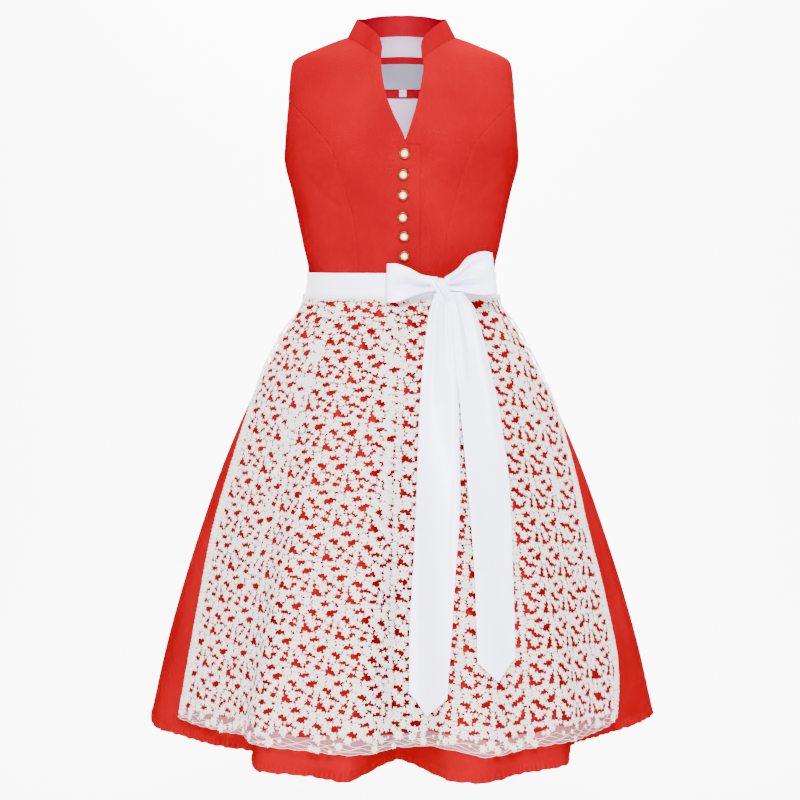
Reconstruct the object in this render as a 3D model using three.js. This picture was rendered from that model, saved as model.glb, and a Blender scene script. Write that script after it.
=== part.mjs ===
// Dirndl: a sleeveless bodice with a stand collar and a V neck, a full skirt that falls in deep flutes, a
// flower-lace apron, and a satin tie in a bow. It keeps the hollow form that it has when it is worn.
// Millimetres, +Z up, front towards -Y. The origin lies midway between the two points where the shoulder
// seams meet the collar. Every piece of cloth is a closed wall. A place on the garment is given by an angle
// (0 at the centre front, 90 at the wearer's left side, 180 at the centre back) and a height z.
import * as THREE from 'three';

// ---------------------------------------------------------------- driving dimensions
const CLOTH = 1.2; // wall of the bodice and the skirt
const THIN = 1.0; // wall of lining, lace, satin and labels
const SEAM = 0.4; // gap between two pieces at a seam
const LIE = 0.45; // gap under a piece that lies on another
const LOOSE = 0.9; // the same where the grids of the two pieces differ
const NECK = -3; // height of the shoulder seams at the collar
const SHOULDER = -37; // height of the shoulder seams at the armholes
const PRINCESS = -101; // height where the princess seams leave the armholes
const UNDERARM = -190;
const WAIST = -368; // seam between bodice and skirt
const BAND = { top: -351, bottom: -389 }; // satin waistband
const HEM = -1020; // level that the skirt's edge reaches
const PUCKER = 14; // height of the puckered edge
const BACK_RISE = 8; // how much higher the neck seam is at the centre back

const RED = { color: 0xe40020, roughness: 0.85 };
const WHITE = { color: 0xe6e2ea, roughness: 0.75 };
const LACE = { color: 0xece5da, roughness: 0.9 };
const SATIN = { color: 0xf4f3fa, roughness: 0.35 };
const SILVER = { color: 0xbab8c6, roughness: 0.45 };
const PEARL = { color: 0xf0e8d6, roughness: 0.2 };
const BRASS = { color: 0x9c7a44, roughness: 0.4, metalness: 0.9 };

// Body of the bodice: half width, depth in front, depth behind, and the exponent of its superellipse.
// Between shoulder and underarm the width is that of a ring whose sides the armholes cut away.
const BODY = [
  { z: 6, half: 62, front: 34, back: 60, square: 2.0 },
  { z: -3, half: 77, front: 40, back: 62, square: 2.0 },
  { z: -10, half: 97, front: 46, back: 66, square: 2.0 },
  { z: -20, half: 122, front: 56, back: 70, square: 2.0 },
  { z: -30, half: 146, front: 66, back: 74, square: 2.05 },
  { z: -37, half: 158, front: 71, back: 77, square: 2.1 },
  { z: -48, half: 165, front: 78, back: 81, square: 2.2 },
  { z: -66, half: 172, front: 87, back: 86, square: 2.3 },
  { z: -96, half: 177, front: 101, back: 90, square: 2.4 },
  { z: -130, half: 179, front: 115, back: 92, square: 2.4 },
  { z: -160, half: 176, front: 123, back: 91, square: 2.4 },
  { z: -190, half: 173.5, front: 124, back: 88, square: 2.35 },
  { z: -230, half: 163.5, front: 117, back: 82, square: 2.3 },
  { z: -270, half: 155, front: 107, back: 76, square: 2.3 },
  { z: -310, half: 147, front: 98, back: 71, square: 2.3 },
  { z: -351, half: 139, front: 93, back: 70, square: 2.3 },
  { z: -368, half: 139.5, front: 94, back: 72, square: 2.25 },
];
const BUST = { x: 84, z: -176, out: 9, wide: 44, tall: 50 };

// Armholes: distance in front of and behind the side at each height.
const ARMHOLE = [
  { z: -37, front: 0, back: 0 },
  { z: -48, front: 17, back: 13 },
  { z: -66, front: 33, back: 27 },
  { z: -101, front: 47, back: 41 },
  { z: -130, front: 50, back: 44 },
  { z: -155, front: 41, back: 37 },
  { z: -175, front: 24, back: 22 },
  { z: -190, front: 0, back: 0 },
];
const FRONT_PRINCESS = [
  { z: -101, x: 169 },
  { z: -108, x: 157 },
  { z: -121, x: 144 },
  { z: -138, x: 127.5 },
  { z: -156, x: 112 },
  { z: -170, x: 101 },
  { z: -194, x: 92 },
  { z: -233, x: 79.5 },
  { z: -289, x: 66 },
  { z: -346, x: 62.5 },
  { z: -368, x: 62 },
];
const BACK_PRINCESS = [
  { z: -101, x: 169 },
  { z: -108, x: 157 },
  { z: -121, x: 144 },
  { z: -150, x: 121 },
  { z: -200, x: 94 },
  { z: -260, x: 73 },
  { z: -320, x: 60 },
  { z: -368, x: 56 },
];
// Neck seam of the collar at the front, by angle from the centre front.
const NECK_SEAM = [
  { angle: 22, z: -40 },
  { angle: 35, z: -30 },
  { angle: 52, z: -18.5 },
  { angle: 70, z: -9 },
  { angle: 90, z: -3 },
];
// Neckline of each front below the collar; x is towards the wearer's left. The right front lies on top
// and its overlap runs from the foot of the V to the waist.
const NECKLINE_RIGHT = [
  { z: -40, x: -29.5 },
  { z: -54, x: -29 },
  { z: -69, x: -27.3 },
  { z: -86, x: -24.3 },
  { z: -100, x: -20.4 },
  { z: -125, x: -10.7 },
  { z: -147, x: 0.1 },
  { z: -166, x: 7.5 },
];
const NECKLINE_LEFT = [
  { z: -40, x: 31.5 },
  { z: -54, x: 32 },
  { z: -69, x: 30.3 },
  { z: -86, x: 27.5 },
  { z: -100, x: 24.1 },
  { z: -123, x: 17.8 },
  { z: -145, x: 10.9 },
  { z: -159, x: 5.8 },
  { z: -172, x: 0 },
  { z: -368, x: 0 },
];
const OVERLAP = { top: -168, edge: 27 };

// Skirt: half width, depth in front and depth behind of its plain form, with how far the flutes have opened.
const SKIRT = [
  { z: -368, half: 139.5, front: 94, back: 72, open: 0 },
  { z: -389, half: 142.4, front: 97.5, back: 77, open: 0 },
  { z: -405, half: 146, front: 105, back: 89, open: 0.02 },
  { z: -422, half: 156.5, front: 117, back: 106, open: 0.05 },
  { z: -452, half: 174, front: 135, back: 129, open: 0.11 },
  { z: -500, half: 199.5, front: 161, back: 162, open: 0.22 },
  { z: -560, half: 231.5, front: 191, back: 196, open: 0.37 },
  { z: -634, half: 265.5, front: 225, back: 230, open: 0.53 },
  { z: -720, half: 298, front: 259, back: 264, open: 0.69 },
  { z: -817, half: 330, front: 292, back: 296, open: 0.83 },
  { z: -920, half: 359, front: 323, back: 326, open: 0.93 },
  { z: -1020, half: 382, front: 350, back: 348, open: 1 },
];
// Flutes: reach of the skirt's edge from the axis at each crest, valley and shoulder of a fold.
const FLUTES = [
  { angle: -90, reach: 381 },
  { angle: -76, reach: 376 },
  { angle: -66, reach: 350 },
  { angle: -51, reach: 325 },
  { angle: -43, reach: 309 },
  { angle: -37, reach: 345 },
  { angle: -30, reach: 381 },
  { angle: -20, reach: 373 },
  { angle: -11, reach: 388 },
  { angle: -6.5, reach: 318 },
  { angle: -1, reach: 270 },
  { angle: 5, reach: 314 },
  { angle: 10, reach: 381 },
  { angle: 16, reach: 399 },
  { angle: 26, reach: 375 },
  { angle: 36, reach: 375 },
  { angle: 44, reach: 338 },
  { angle: 53, reach: 309 },
  { angle: 65, reach: 324 },
  { angle: 78, reach: 358 },
  { angle: 90, reach: 384 },
  { angle: 104, reach: 352 },
  { angle: 115, reach: 307 },
  { angle: 128, reach: 372 },
  { angle: 142, reach: 366 },
  { angle: 153, reach: 288 },
  { angle: 165, reach: 368 },
  { angle: 180, reach: 377 },
  { angle: 196, reach: 357 },
  { angle: 207, reach: 291 },
  { angle: 219, reach: 364 },
  { angle: 233, reach: 374 },
  { angle: 245, reach: 312 },
  { angle: 256, reach: 350 },
  { angle: 270, reach: 381 },
];
const GATHERS = { count: 28, deepest: 4.5 };
const GATHER_FADE = [
  { z: -368, part: 0 },
  { z: -389, part: 0.1 },
  { z: -405, part: 0.75 },
  { z: -440, part: 1 },
  { z: -520, part: 0.85 },
  { z: -640, part: 0.35 },
  { z: -760, part: 0 },
  { z: -1020, part: 0 },
];

// Apron: its two side edges by angle, and the reach of its lower edge by angle. It bridges the valleys.
const APRON_SIDES = [
  { z: -389, left: -97, right: 96 },
  { z: -470, left: -90, right: 93 },
  { z: -533, left: -77.2, right: 88 },
  { z: -601, left: -72.4, right: 81.5 },
  { z: -645, left: -71.3, right: 77.4 },
  { z: -720, left: -70.4, right: 74.2 },
  { z: -820, left: -68, right: 72.6 },
  { z: -905, left: -66.6, right: 70.5 },
  { z: -950, left: -66.2, right: 67.5 },
  { z: -990, left: -66, right: 63 },
];
const APRON_FLUTES = [
  { angle: -100, reach: 380 },
  { angle: -76, reach: 377 },
  { angle: -67, reach: 355 },
  { angle: -57, reach: 342 },
  { angle: -49, reach: 334 },
  { angle: -41, reach: 342 },
  { angle: -31, reach: 383 },
  { angle: -20, reach: 380 },
  { angle: -11, reach: 391 },
  { angle: -6, reach: 370 },
  { angle: -1, reach: 334 },
  { angle: 4, reach: 338 },
  { angle: 11, reach: 388 },
  { angle: 17, reach: 403 },
  { angle: 26, reach: 383 },
  { angle: 38, reach: 377 },
  { angle: 48, reach: 352 },
  { angle: 58, reach: 343 },
  { angle: 68, reach: 348 },
  { angle: 78, reach: 364 },
  { angle: 100, reach: 386 },
];
// Pleats laid in the lace under the band: where each starts and ends, its width and its height.
const PLEATS = [
  { top: -45, foot: -52, end: -560, wide: 5, high: 3.5 },
  { top: -6, foot: -3, end: -640, wide: 4, high: 3.5 },
  { top: 62, foot: 58, end: -540, wide: 6, high: 3.5 },
  { top: -75, foot: -70, end: -520, wide: 5, high: 3 },
  { top: 28, foot: 25, end: -520, wide: 5, high: 3 },
];
const APRON = { top: -389.4, length: 599, net: 21, clear: 7, across: 30, down: 15 };
const GAP = { wide: 0.66, tall: 0.3 }; // of the cell of lace that it is cut in
// How much further down than the rest the apron's lower edge reaches, by angle.
const APRON_DROP = [
  { angle: -66, extra: 5 },
  { angle: -58, extra: 6 },
  { angle: -48, extra: 5 },
  { angle: -37, extra: -3 },
  { angle: -18, extra: -3 },
  { angle: -11, extra: -4 },
  { angle: -5, extra: -2 },
  { angle: 2, extra: -3 },
  { angle: 9, extra: -9 },
  { angle: 12, extra: -8 },
  { angle: 16, extra: -2 },
  { angle: 30, extra: -2 },
  { angle: 38, extra: 0 },
  { angle: 48, extra: 6 },
  { angle: 59, extra: 9 },
  { angle: 63, extra: 4 },
];

// ---------------------------------------------------------------- curves through tables
// Smooth curve through the rows of a table: a cubic between rows, with the slope at a row set by its neighbours
// and limited so that it never overshoots.
function curve(rows, from, to) {
  const sorted = [...rows].sort((a, b) => a[from] - b[from]);
  const xs = sorted.map((row) => row[from]);
  const ys = sorted.map((row) => row[to]);
  const rise = xs.slice(1).map((x, i) => (ys[i + 1] - ys[i]) / (x - xs[i]));
  const slope = xs.map((x, i) => {
    if (i === 0) return rise[0];
    if (i === xs.length - 1) return rise[i - 1];
    if (rise[i - 1] * rise[i] <= 0) return 0;
    const left = xs[i] - xs[i - 1];
    const right = xs[i + 1] - xs[i];
    return (3 * (left + right)) / ((2 * right + left) / rise[i - 1] + (right + 2 * left) / rise[i]);
  });
  return (x) => {
    if (x <= xs[0]) return ys[0];
    if (x >= xs[xs.length - 1]) return ys[ys.length - 1];
    const i = xs.findIndex((value) => value > x) - 1;
    const width = xs[i + 1] - xs[i];
    const t = (x - xs[i]) / width;
    const bend = t * t * (3 - 2 * t);
    const lead = t * (1 - t) * (1 - t) * slope[i] * width;
    const trail = t * t * (t - 1) * slope[i + 1] * width;
    return ys[i] + (ys[i + 1] - ys[i]) * bend + lead + trail;
  };
}

const mix = (a, b, t) => a + (b - a) * t;
const rad = THREE.MathUtils.degToRad;
const smooth = THREE.MathUtils.smoothstep;
const steps = (count) => Array.from({ length: count + 1 }, (_, i) => i / count);
const spread = (count, low, high) => steps(count).map((t) => mix(low, high, t));
const bump = (x, middle, wide) => Math.exp(-(((x - middle) / wide) ** 2));

// Angle brought between -90 and 270, the span of the flutes' table.
const around = (angle) => ((((angle + 90) % 360) + 360) % 360) - 90;

// Distance from the axis to a superellipse in the direction of an angle.
function reach(angle, half, depth, square) {
  const side = Math.abs(Math.sin(rad(angle))) / half;
  const fore = Math.abs(Math.cos(rad(angle))) / depth;
  return (side ** square + fore ** square) ** (-1 / square);
}

const place = (angle, r, z) => new THREE.Vector3(r * Math.sin(rad(angle)), -r * Math.cos(rad(angle)), z);
const isFront = (angle) => Math.cos(rad(angle)) > 0;

// ---------------------------------------------------------------- the garment's forms
const bodyHalf = curve(BODY, 'z', 'half');
const bodyFront = curve(BODY, 'z', 'front');
const bodyBack = curve(BODY, 'z', 'back');
const bodySquare = curve(BODY, 'z', 'square');

function body(angle, z) {
  const depth = isFront(angle) ? bodyFront(z) : bodyBack(z);
  const point = place(angle, reach(angle, bodyHalf(z), depth, bodySquare(z)), z);
  if (isFront(angle)) {
    const fullness = bump(Math.abs(point.x), BUST.x, BUST.wide) * bump(z, BUST.z, BUST.tall);
    point.y -= BUST.out * fullness;
  } else {
    point.z += BACK_RISE * Math.cos(rad(angle)) ** 2 * smooth(z, -90, NECK);
  }
  return point;
}

// Angle of the point on the body's ring at a height that lies at a given x.
function angleAt(x, z, behind = false) {
  const sign = Math.sign(x) || 1;
  let low = 0;
  let high = 90;
  for (let i = 0; i < 30; i += 1) {
    const middle = (low + high) / 2;
    if (Math.abs(body(behind ? 180 - middle : middle, z).x) < Math.abs(x)) low = middle;
    else high = middle;
  }
  return sign * (behind ? 180 - low : low);
}

const skirtHalf = curve(SKIRT, 'z', 'half');
const skirtFront = curve(SKIRT, 'z', 'front');
const skirtBack = curve(SKIRT, 'z', 'back');
const skirtOpen = curve(SKIRT, 'z', 'open');
const fluteReach = curve(FLUTES, 'angle', 'reach');
const gatherPart = curve(GATHER_FADE, 'z', 'part');
const apronReach = curve(APRON_FLUTES, 'angle', 'reach');

// The skirt's plain ring, and what the flutes and gathers do to it.
function plainReach(angle, z) {
  const depth = isFront(angle) ? skirtFront(z) : skirtBack(z);
  const square = mix(bodySquare(WAIST), 2, smooth(-z, -BAND.bottom, 560));
  return reach(angle, skirtHalf(z), depth, square);
}
const fluted = (angle, z, edge) => plainReach(angle, z) * mix(1, edge / plainReach(angle, HEM), skirtOpen(z));
const gather = (angle, z) => GATHERS.deepest * gatherPart(z) * Math.cos(rad(angle) * GATHERS.count);

function skirt(angle, z) {
  return place(angle, fluted(angle, z, fluteReach(around(angle))) + gather(angle, z), z);
}

function pleat(angle, z) {
  return PLEATS.reduce((sum, row) => {
    const along = THREE.MathUtils.clamp((z - APRON.top) / (row.end - APRON.top), 0, 1);
    const high = row.high * smooth(along, 0, 0.04) * (1 - smooth(along, 0.6, 1));
    return sum + high * bump(angle, mix(row.top, row.foot, along), row.wide);
  }, 0);
}

// The apron lies clear of the skirt's crests and bridges its valleys.
function apron(angle, z) {
  const clear = mix(2, APRON.clear, smooth(-z, -APRON.top, 450));
  const over = GATHERS.deepest * gatherPart(z) + clear + pleat(angle, z);
  return place(angle, fluted(angle, z, apronReach(angle)) + over, z);
}

// ---------------------------------------------------------------- walls
// A surface is a function of two numbers. Its normal points away from the side on which the first number
// runs right and the second runs up.
const SMALL = 0.005;
function lifted(surface, a, b, lift) {
  const point = surface(a, b);
  const along = surface(a + SMALL, b).sub(surface(a - SMALL, b));
  const up = surface(a, b + SMALL).sub(surface(a, b - SMALL));
  return point.addScaledVector(along.cross(up).normalize(), lift);
}

// A closed wall of cloth. across and down are the breaks of the grid, chart turns them into the surface's
// two numbers, base is the height of the outer face over the surface, and pierced says which cells of the
// grid have a gap cut through.
function wall({ name, finish, across, down, chart, surface, base = 0, thick = CLOTH, pierced = () => false }) {
  const points = [];
  const faces = [];
  const put = (u, v) => {
    const [a, b] = chart(u, v);
    points.push([lifted(surface, a, b, base), lifted(surface, a, b, base - thick)]);
    return points.length - 1;
  };
  const grid = across.map((u) => down.map((v) => put(u, v)));
  const skin = (a, b, c) => faces.push([[a, 0], [b, 0], [c, 0]], [[a, 1], [c, 1], [b, 1]]);
  const edge = (a, b) => faces.push([[a, 0], [a, 1], [b, 1]], [[a, 0], [b, 1], [b, 0]]);
  const quad = (a, b, c, d) => {
    skin(a, b, c);
    skin(a, c, d);
  };
  for (let i = 0; i < across.length - 1; i += 1) {
    for (let j = 0; j < down.length - 1; j += 1) {
      const [a, b] = [grid[i][j], grid[i + 1][j]];
      const [c, d] = [grid[i + 1][j + 1], grid[i][j + 1]];
      if (pierced(i, j)) {
        const [u, v] = [(across[i] + across[i + 1]) / 2, (down[j] + down[j + 1]) / 2];
        const du = ((across[i + 1] - across[i]) * GAP.wide) / 2;
        const dv = ((down[j + 1] - down[j]) * GAP.tall) / 2;
        const [left, top, right, foot] = [put(u - du, v), put(u, v - dv), put(u + du, v), put(u, v + dv)];
        quad(a, d, left, top);
        quad(d, c, foot, left);
        quad(c, b, right, foot);
        quad(b, a, top, right);
        edge(left, top);
        edge(top, right);
        edge(right, foot);
        edge(foot, left);
      } else quad(a, d, c, b);
    }
  }
  const last = { i: across.length - 1, j: down.length - 1 };
  for (let i = 0; i < last.i; i += 1) {
    edge(grid[i + 1][0], grid[i][0]);
    edge(grid[i][last.j], grid[i + 1][last.j]);
  }
  for (let j = 0; j < last.j; j += 1) {
    edge(grid[0][j], grid[0][j + 1]);
    edge(grid[last.i][j + 1], grid[last.i][j]);
  }
  const positions = points.flatMap((pair) => pair.flatMap((point) => point.toArray()));
  const geometry = new THREE.BufferGeometry();
  geometry.setAttribute('position', new THREE.Float32BufferAttribute(positions, 3));
  geometry.setIndex(faces.flat().map(([index, layer]) => 2 * index + layer));
  geometry.computeVertexNormals();
  return named(name, geometry, finish);
}

const dirndl = new THREE.Group();

function named(name, geometry, finish) {
  const mesh = new THREE.Mesh(geometry, new THREE.MeshStandardMaterial(finish));
  mesh.name = name;
  dirndl.add(mesh);
  return mesh;
}

// ---------------------------------------------------------------- bodice
const SIDES = [
  { side: 'right', sign: -1 },
  { side: 'left', sign: 1 },
];
const seamIn = (angle, z, sign) => angle + (sign * SEAM * 90) / (Math.PI * body(angle, z).setZ(0).length());
const atX = (rows) => curve(rows, 'z', 'x');
const armFront = curve(ARMHOLE, 'z', 'front');
const armBack = curve(ARMHOLE, 'z', 'back');
const frontPrincess = atX(FRONT_PRINCESS);
const backPrincess = atX(BACK_PRINCESS);
const neckSeamAngle = curve(NECK_SEAM, 'z', 'angle');
const neckSeamHeight = curve(NECK_SEAM, 'angle', 'z');

// Angle from the centre front, or from the centre back, at which an armhole's edge lies.
function armholeAngle(z, behind) {
  const target = behind ? armBack(z) : armFront(z);
  let low = 0;
  let high = 90;
  for (let i = 0; i < 30; i += 1) {
    const middle = (low + high) / 2;
    if (Math.abs(body(behind ? 180 - middle : middle, z).y) > target) low = middle;
    else high = middle;
  }
  return low;
}

// Outer edge of a centre panel: shoulder seam, armhole, then princess seam.
function centrePanelEdge(z, behind) {
  const seam = Math.abs(seamIn(90, z, -1));
  if (z > SHOULDER) return seam;
  const arm = Math.min(armholeAngle(z, behind), seam);
  if (z > PRINCESS) return arm;
  const x = (behind ? backPrincess : frontPrincess)(z);
  const angle = Math.abs(angleAt(x, z, behind));
  const fromCentre = behind ? 180 - angle : angle;
  return Math.min(fromCentre, arm - 0.6) - Math.abs(seamIn(0, z, 1));
}

// Rows of the panels' grids. Panels that share a seam share its rows.
const SHOULDER_ROWS = [-5, -11, -19, -28, -37, -48, -64, -82, -101];
const BACK_ROWS = [NECK - 0.3, -10, -20, -30, -37, -50, -72, -101];
const SEAM_ROWS = [
  -102, -109, -121, -139, -156, -167.6, -168, -182, -191, -220, -258, -300, -335, WAIST + SEAM / 2,
];

// The right front lies on top. Below the V its edge steps out to the overlap's edge.
const necklineRight = atX(NECKLINE_RIGHT);
const necklineLeft = atX(NECKLINE_LEFT);
const frontInner = {
  right: (z) => (z <= OVERLAP.top ? OVERLAP.edge : necklineRight(z)),
  left: (z) => necklineLeft(z),
};
// The left front sinks under the overlap by the overlap's wall and the gap between them.
const underlap = (x) => (CLOTH + LOOSE) * (1 - smooth(x, OVERLAP.edge + 2, OVERLAP.edge + 12));

for (const { side, sign } of SIDES) {
  const inner = (z) => {
    if (z > NECK_SEAM[0].z) return sign * (neckSeamAngle(z) + 0.3);
    return angleAt(frontInner[side](z), z);
  };
  const form = (angle, z) => {
    const point = body(angle, z);
    if (side === 'right') return point;
    const sunk = 1 - underlap(point.x) / Math.hypot(point.x, point.y);
    return point.set(point.x * sunk, point.y * sunk, point.z);
  };
  wall({
    name: `front_centre_${side}`,
    finish: RED,
    across: steps(6),
    down: [...SHOULDER_ROWS, ...SEAM_ROWS],
    chart: (u, z) => {
      const outer = sign * centrePanelEdge(z, false);
      return side === 'right' ? [mix(outer, inner(z), u), z] : [mix(inner(z), outer, u), z];
    },
    surface: form,
  });
}

for (const { side, sign } of SIDES) {
  for (const [where, behind] of [['front', false], ['back', true]]) {
    wall({
      name: `${where}_side_${side}`,
      finish: RED,
      across: steps(4),
      down: SEAM_ROWS,
      chart: (u, z) => {
        const inner = centrePanelEdge(z, behind) + 2 * Math.abs(seamIn(0, z, 1));
        const arm = z > UNDERARM ? armholeAngle(z, behind) : Math.abs(seamIn(90, z, -1));
        const fromCentre = mix(Math.min(inner, arm - 0.3), arm, sign * (behind ? -1 : 1) > 0 ? u : 1 - u);
        return [sign * (behind ? 180 - fromCentre : fromCentre), z];
      },
      surface: body,
    });
  }
}

// Columns of the back, closer together behind the neck, where lining and labels lie on it.
const BACK_COLUMNS = [-1, -0.7, -0.4, -0.2, 0, 0.2, 0.4, 0.7, 1];
const backChart = (share, z) => [180 + share * centrePanelEdge(z, true), z];
wall({
  name: 'back_centre',
  finish: RED,
  across: BACK_COLUMNS,
  down: [...BACK_ROWS, ...SEAM_ROWS],
  chart: backChart,
  surface: body,
});

// ---------------------------------------------------------------- collar
const COLLAR = { height: 28, corner: 12, leanSide: 0.52, leanBack: 0.12, end: 22.5 };

function collar(angle, up) {
  const turned = angle > 180 ? 360 - angle : angle;
  const seam = turned >= 90 ? NECK : neckSeamHeight(turned);
  const foot = body(angle, seam);
  const lean = mix(COLLAR.leanBack, COLLAR.leanSide, Math.abs(Math.sin(rad(angle))));
  const inward = 1 - (lean * up) / Math.hypot(foot.x, foot.y);
  return foot.set(foot.x * inward, foot.y * inward, foot.z + up);
}

const collarBreaks = [0, 0.012, 0.035, 0.07, ...spread(16, 0.12, 0.88), 0.93, 0.965, 0.988, 1];
wall({
  name: 'collar',
  finish: RED,
  across: collarBreaks,
  down: [1, 0.5, 0],
  chart: (u, v) => {
    const angle = mix(COLLAR.end, 360 - COLLAR.end, u);
    const fromEnd = Math.min(u, 1 - u) * (360 - 2 * COLLAR.end);
    const corner = Math.min(fromEnd / COLLAR.corner, 1);
    const rounded = mix(0.55, 1, Math.sqrt(1 - (1 - corner) ** 2));
    return [angle, mix(LOOSE, COLLAR.height * rounded, v)];
  },
  surface: collar,
});

// ---------------------------------------------------------------- inside the back neck
const LINING_FOOT = -191;
const PATCH = { wide: 41, down: [-30.5, -37, -50, -72, -86.5] };
const LABEL = { wide: 36, down: [-39.5, -50, -72, -76] };
const TAB = { wide: 5, down: [-76.8, -86] };

// How far the outer face of each layer on the back lies behind the back's own outer face.
const layer = (count) => -CLOTH - count * LOOSE - (count - 1) * THIN;
wall({
  name: 'back_lining',
  finish: WHITE,
  across: BACK_COLUMNS.slice(1, -1),
  down: [NECK - 1, ...BACK_ROWS.slice(1), ...SEAM_ROWS.filter((z) => z >= LINING_FOOT)],
  chart: backChart,
  surface: body,
  base: layer(1),
  thick: THIN,
});

// A flat piece on the lining. Its inner columns are those of the back, its edges lie at its own half width.
function onLining(name, finish, { wide, down }, count, columns) {
  wall({
    name,
    finish,
    across: [-wide, ...columns, wide],
    down,
    chart: (place, z) => {
      if (columns.includes(place)) return backChart(place, z);
      return [180 + THREE.MathUtils.radToDeg(place / body(180, z).y), z];
    },
    surface: body,
    base: layer(count),
    thick: THIN,
  });
}
onLining('neck_patch', RED, PATCH, 2, [-0.2, 0, 0.2]);
onLining('label', SILVER, LABEL, 3, [-0.2, 0, 0.2]);
onLining('size_tab', WHITE, TAB, 3, []);

// ---------------------------------------------------------------- skirt
const SKIRT_ROWS = [WAIST - SEAM / 2, -389, -405, -425, -458, -510, -590, -700, -850, HEM + PUCKER];
const HALVES = [
  { half: 'front', middle: 0 },
  { half: 'back', middle: 180 },
];
const SKIRT_COLUMNS = 42;
const halfSpan = (z) => 90 - (LOOSE * 90) / (Math.PI * skirtHalf(z));

for (const { half, middle } of HALVES) {
  wall({
    name: `skirt_${half}`,
    finish: RED,
    across: steps(SKIRT_COLUMNS),
    down: SKIRT_ROWS,
    chart: (u, z) => [middle + mix(-halfSpan(z), halfSpan(z), u), z],
    surface: skirt,
  });
}

// The edge is drawn up into fine puckers, smooth where it joins the skirt. It runs straight between the
// columns of the skirt above it.
const PUCKERS = { waves: 45, deep: 1.6 };
function hemForm(middle) {
  const column = (i, z) => skirt(middle + mix(-halfSpan(z), halfSpan(z), i / SKIRT_COLUMNS), z);
  return (u, z) => {
    const first = THREE.MathUtils.clamp(Math.floor(u * SKIRT_COLUMNS), 0, SKIRT_COLUMNS - 1);
    const point = column(first, z).lerp(column(first + 1, z), u * SKIRT_COLUMNS - first);
    const drawn = PUCKERS.deep * smooth(HEM + PUCKER - z, 0, PUCKER) * Math.cos(rad(360 * PUCKERS.waves) * u);
    const grown = 1 + drawn / Math.hypot(point.x, point.y);
    return point.set(point.x * grown, point.y * grown, z);
  };
}
for (const { half, middle } of HALVES) {
  wall({
    name: `hem_${half}`,
    finish: RED,
    across: steps(2 * PUCKERS.waves),
    down: [HEM + PUCKER - LOOSE, HEM],
    chart: (u, z) => [u, z],
    surface: hemForm(middle),
  });
}

// ---------------------------------------------------------------- apron
const apronLeft = curve(APRON_SIDES, 'z', 'left');
const apronRight = curve(APRON_SIDES, 'z', 'right');
const apronDrop = curve(APRON_DROP, 'angle', 'extra');

// Height at a share v of the lace, measured down from the band; the lace ends where the net strip starts.
function apronChart(u, v) {
  const guess = mix(APRON.top, APRON.top - APRON.length, v);
  const angle = mix(apronLeft(guess), apronRight(guess), u);
  return [angle, guess - apronDrop(angle) * v];
}
const netStart = 1 - APRON.net / APRON.length;

wall({
  name: 'apron_lace',
  finish: LACE,
  across: steps(APRON.across),
  down: [0, 0.025, ...spread(APRON.down, 0.055, netStart)],
  chart: apronChart,
  surface: apron,
  thick: THIN,
  pierced: (i, j) => (i + j) % 2 === 0 && i > 0 && i < APRON.across - 1 && j > 1 && j < APRON.down + 1,
});
wall({
  name: 'apron_net',
  finish: LACE,
  across: steps(APRON.across),
  down: [netStart + LOOSE / APRON.length, 1],
  chart: apronChart,
  surface: apron,
  thick: THIN,
});

// ---------------------------------------------------------------- satin band and tie
const BAND_COLUMNS = 30;
const tieRing = (angle, z) => {
  const bodice = body(angle, Math.max(z, WAIST));
  const cloth = skirt(angle, Math.min(z, WAIST));
  const r = Math.max(Math.hypot(bodice.x, bodice.y), Math.hypot(cloth.x, cloth.y));
  return place(angle, r, z);
};
for (const { name, middle, open } of [
  { name: 'waistband', middle: 0, open: 98 },
  { name: 'tie_back', middle: 180, open: 82 },
]) {
  const share = open - (SEAM * 90) / (Math.PI * BODY.at(-1).half);
  wall({
    name,
    finish: SATIN,
    across: steps(BAND_COLUMNS),
    down: [BAND.top, BAND.bottom + SEAM],
    chart: (u, z) => [middle + mix(-share, share, u), z],
    surface: tieRing,
    base: LIE + THIN + 1.15,
    thick: THIN,
  });
}

// ---------------------------------------------------------------- bow
// Each loop is a strip that runs out from the knot, turns and comes back behind itself. A row gives a place
// along the strip in per cent: x, y and z of its middle, and the strip's width there.
const LOOP_LEFT = [
  { s: 0, x: 52, y: -116.6, z: -371, wide: 14 },
  { s: 16, x: 28, y: -117.6, z: -368.5, wide: 27 },
  { s: 30, x: 8, y: -119.5, z: -365, wide: 46 },
  { s: 42, x: -12, y: -120.5, z: -364.5, wide: 56 },
  { s: 50, x: -24, y: -114, z: -364.5, wide: 52 },
  { s: 58, x: -12, y: -107.5, z: -364.5, wide: 56 },
  { s: 70, x: 8, y: -104, z: -365, wide: 44 },
  { s: 84, x: 28, y: -102.5, z: -368.5, wide: 27 },
  { s: 100, x: 52, y: -101.5, z: -371, wide: 13 },
];
const LOOP_RIGHT = [
  { s: 0, x: 62, y: -110, z: -369.5, wide: 9 },
  { s: 15, x: 80, y: -113.5, z: -362.5, wide: 22 },
  { s: 28, x: 96, y: -116.5, z: -355, wide: 50 },
  { s: 41, x: 122, y: -111, z: -351.5, wide: 62 },
  { s: 50, x: 137, y: -101, z: -352, wide: 52 },
  { s: 59, x: 122, y: -92, z: -351.5, wide: 60 },
  { s: 72, x: 96, y: -94, z: -355, wide: 48 },
  { s: 85, x: 80, y: -100, z: -363, wide: 18 },
  { s: 100, x: 62, y: -101.5, z: -370, wide: 9 },
];
const KNOT = { x: 57, y: -108.3, z: -371, wide: 30, tall: 44, deep: 27, open: 158, pinch: 0.1 };
const STRIP_BREAKS = [0, 9, 18, 28, 38, 44, 48, 50, 52, 56, 62, 72, 82, 91, 100];

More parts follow.
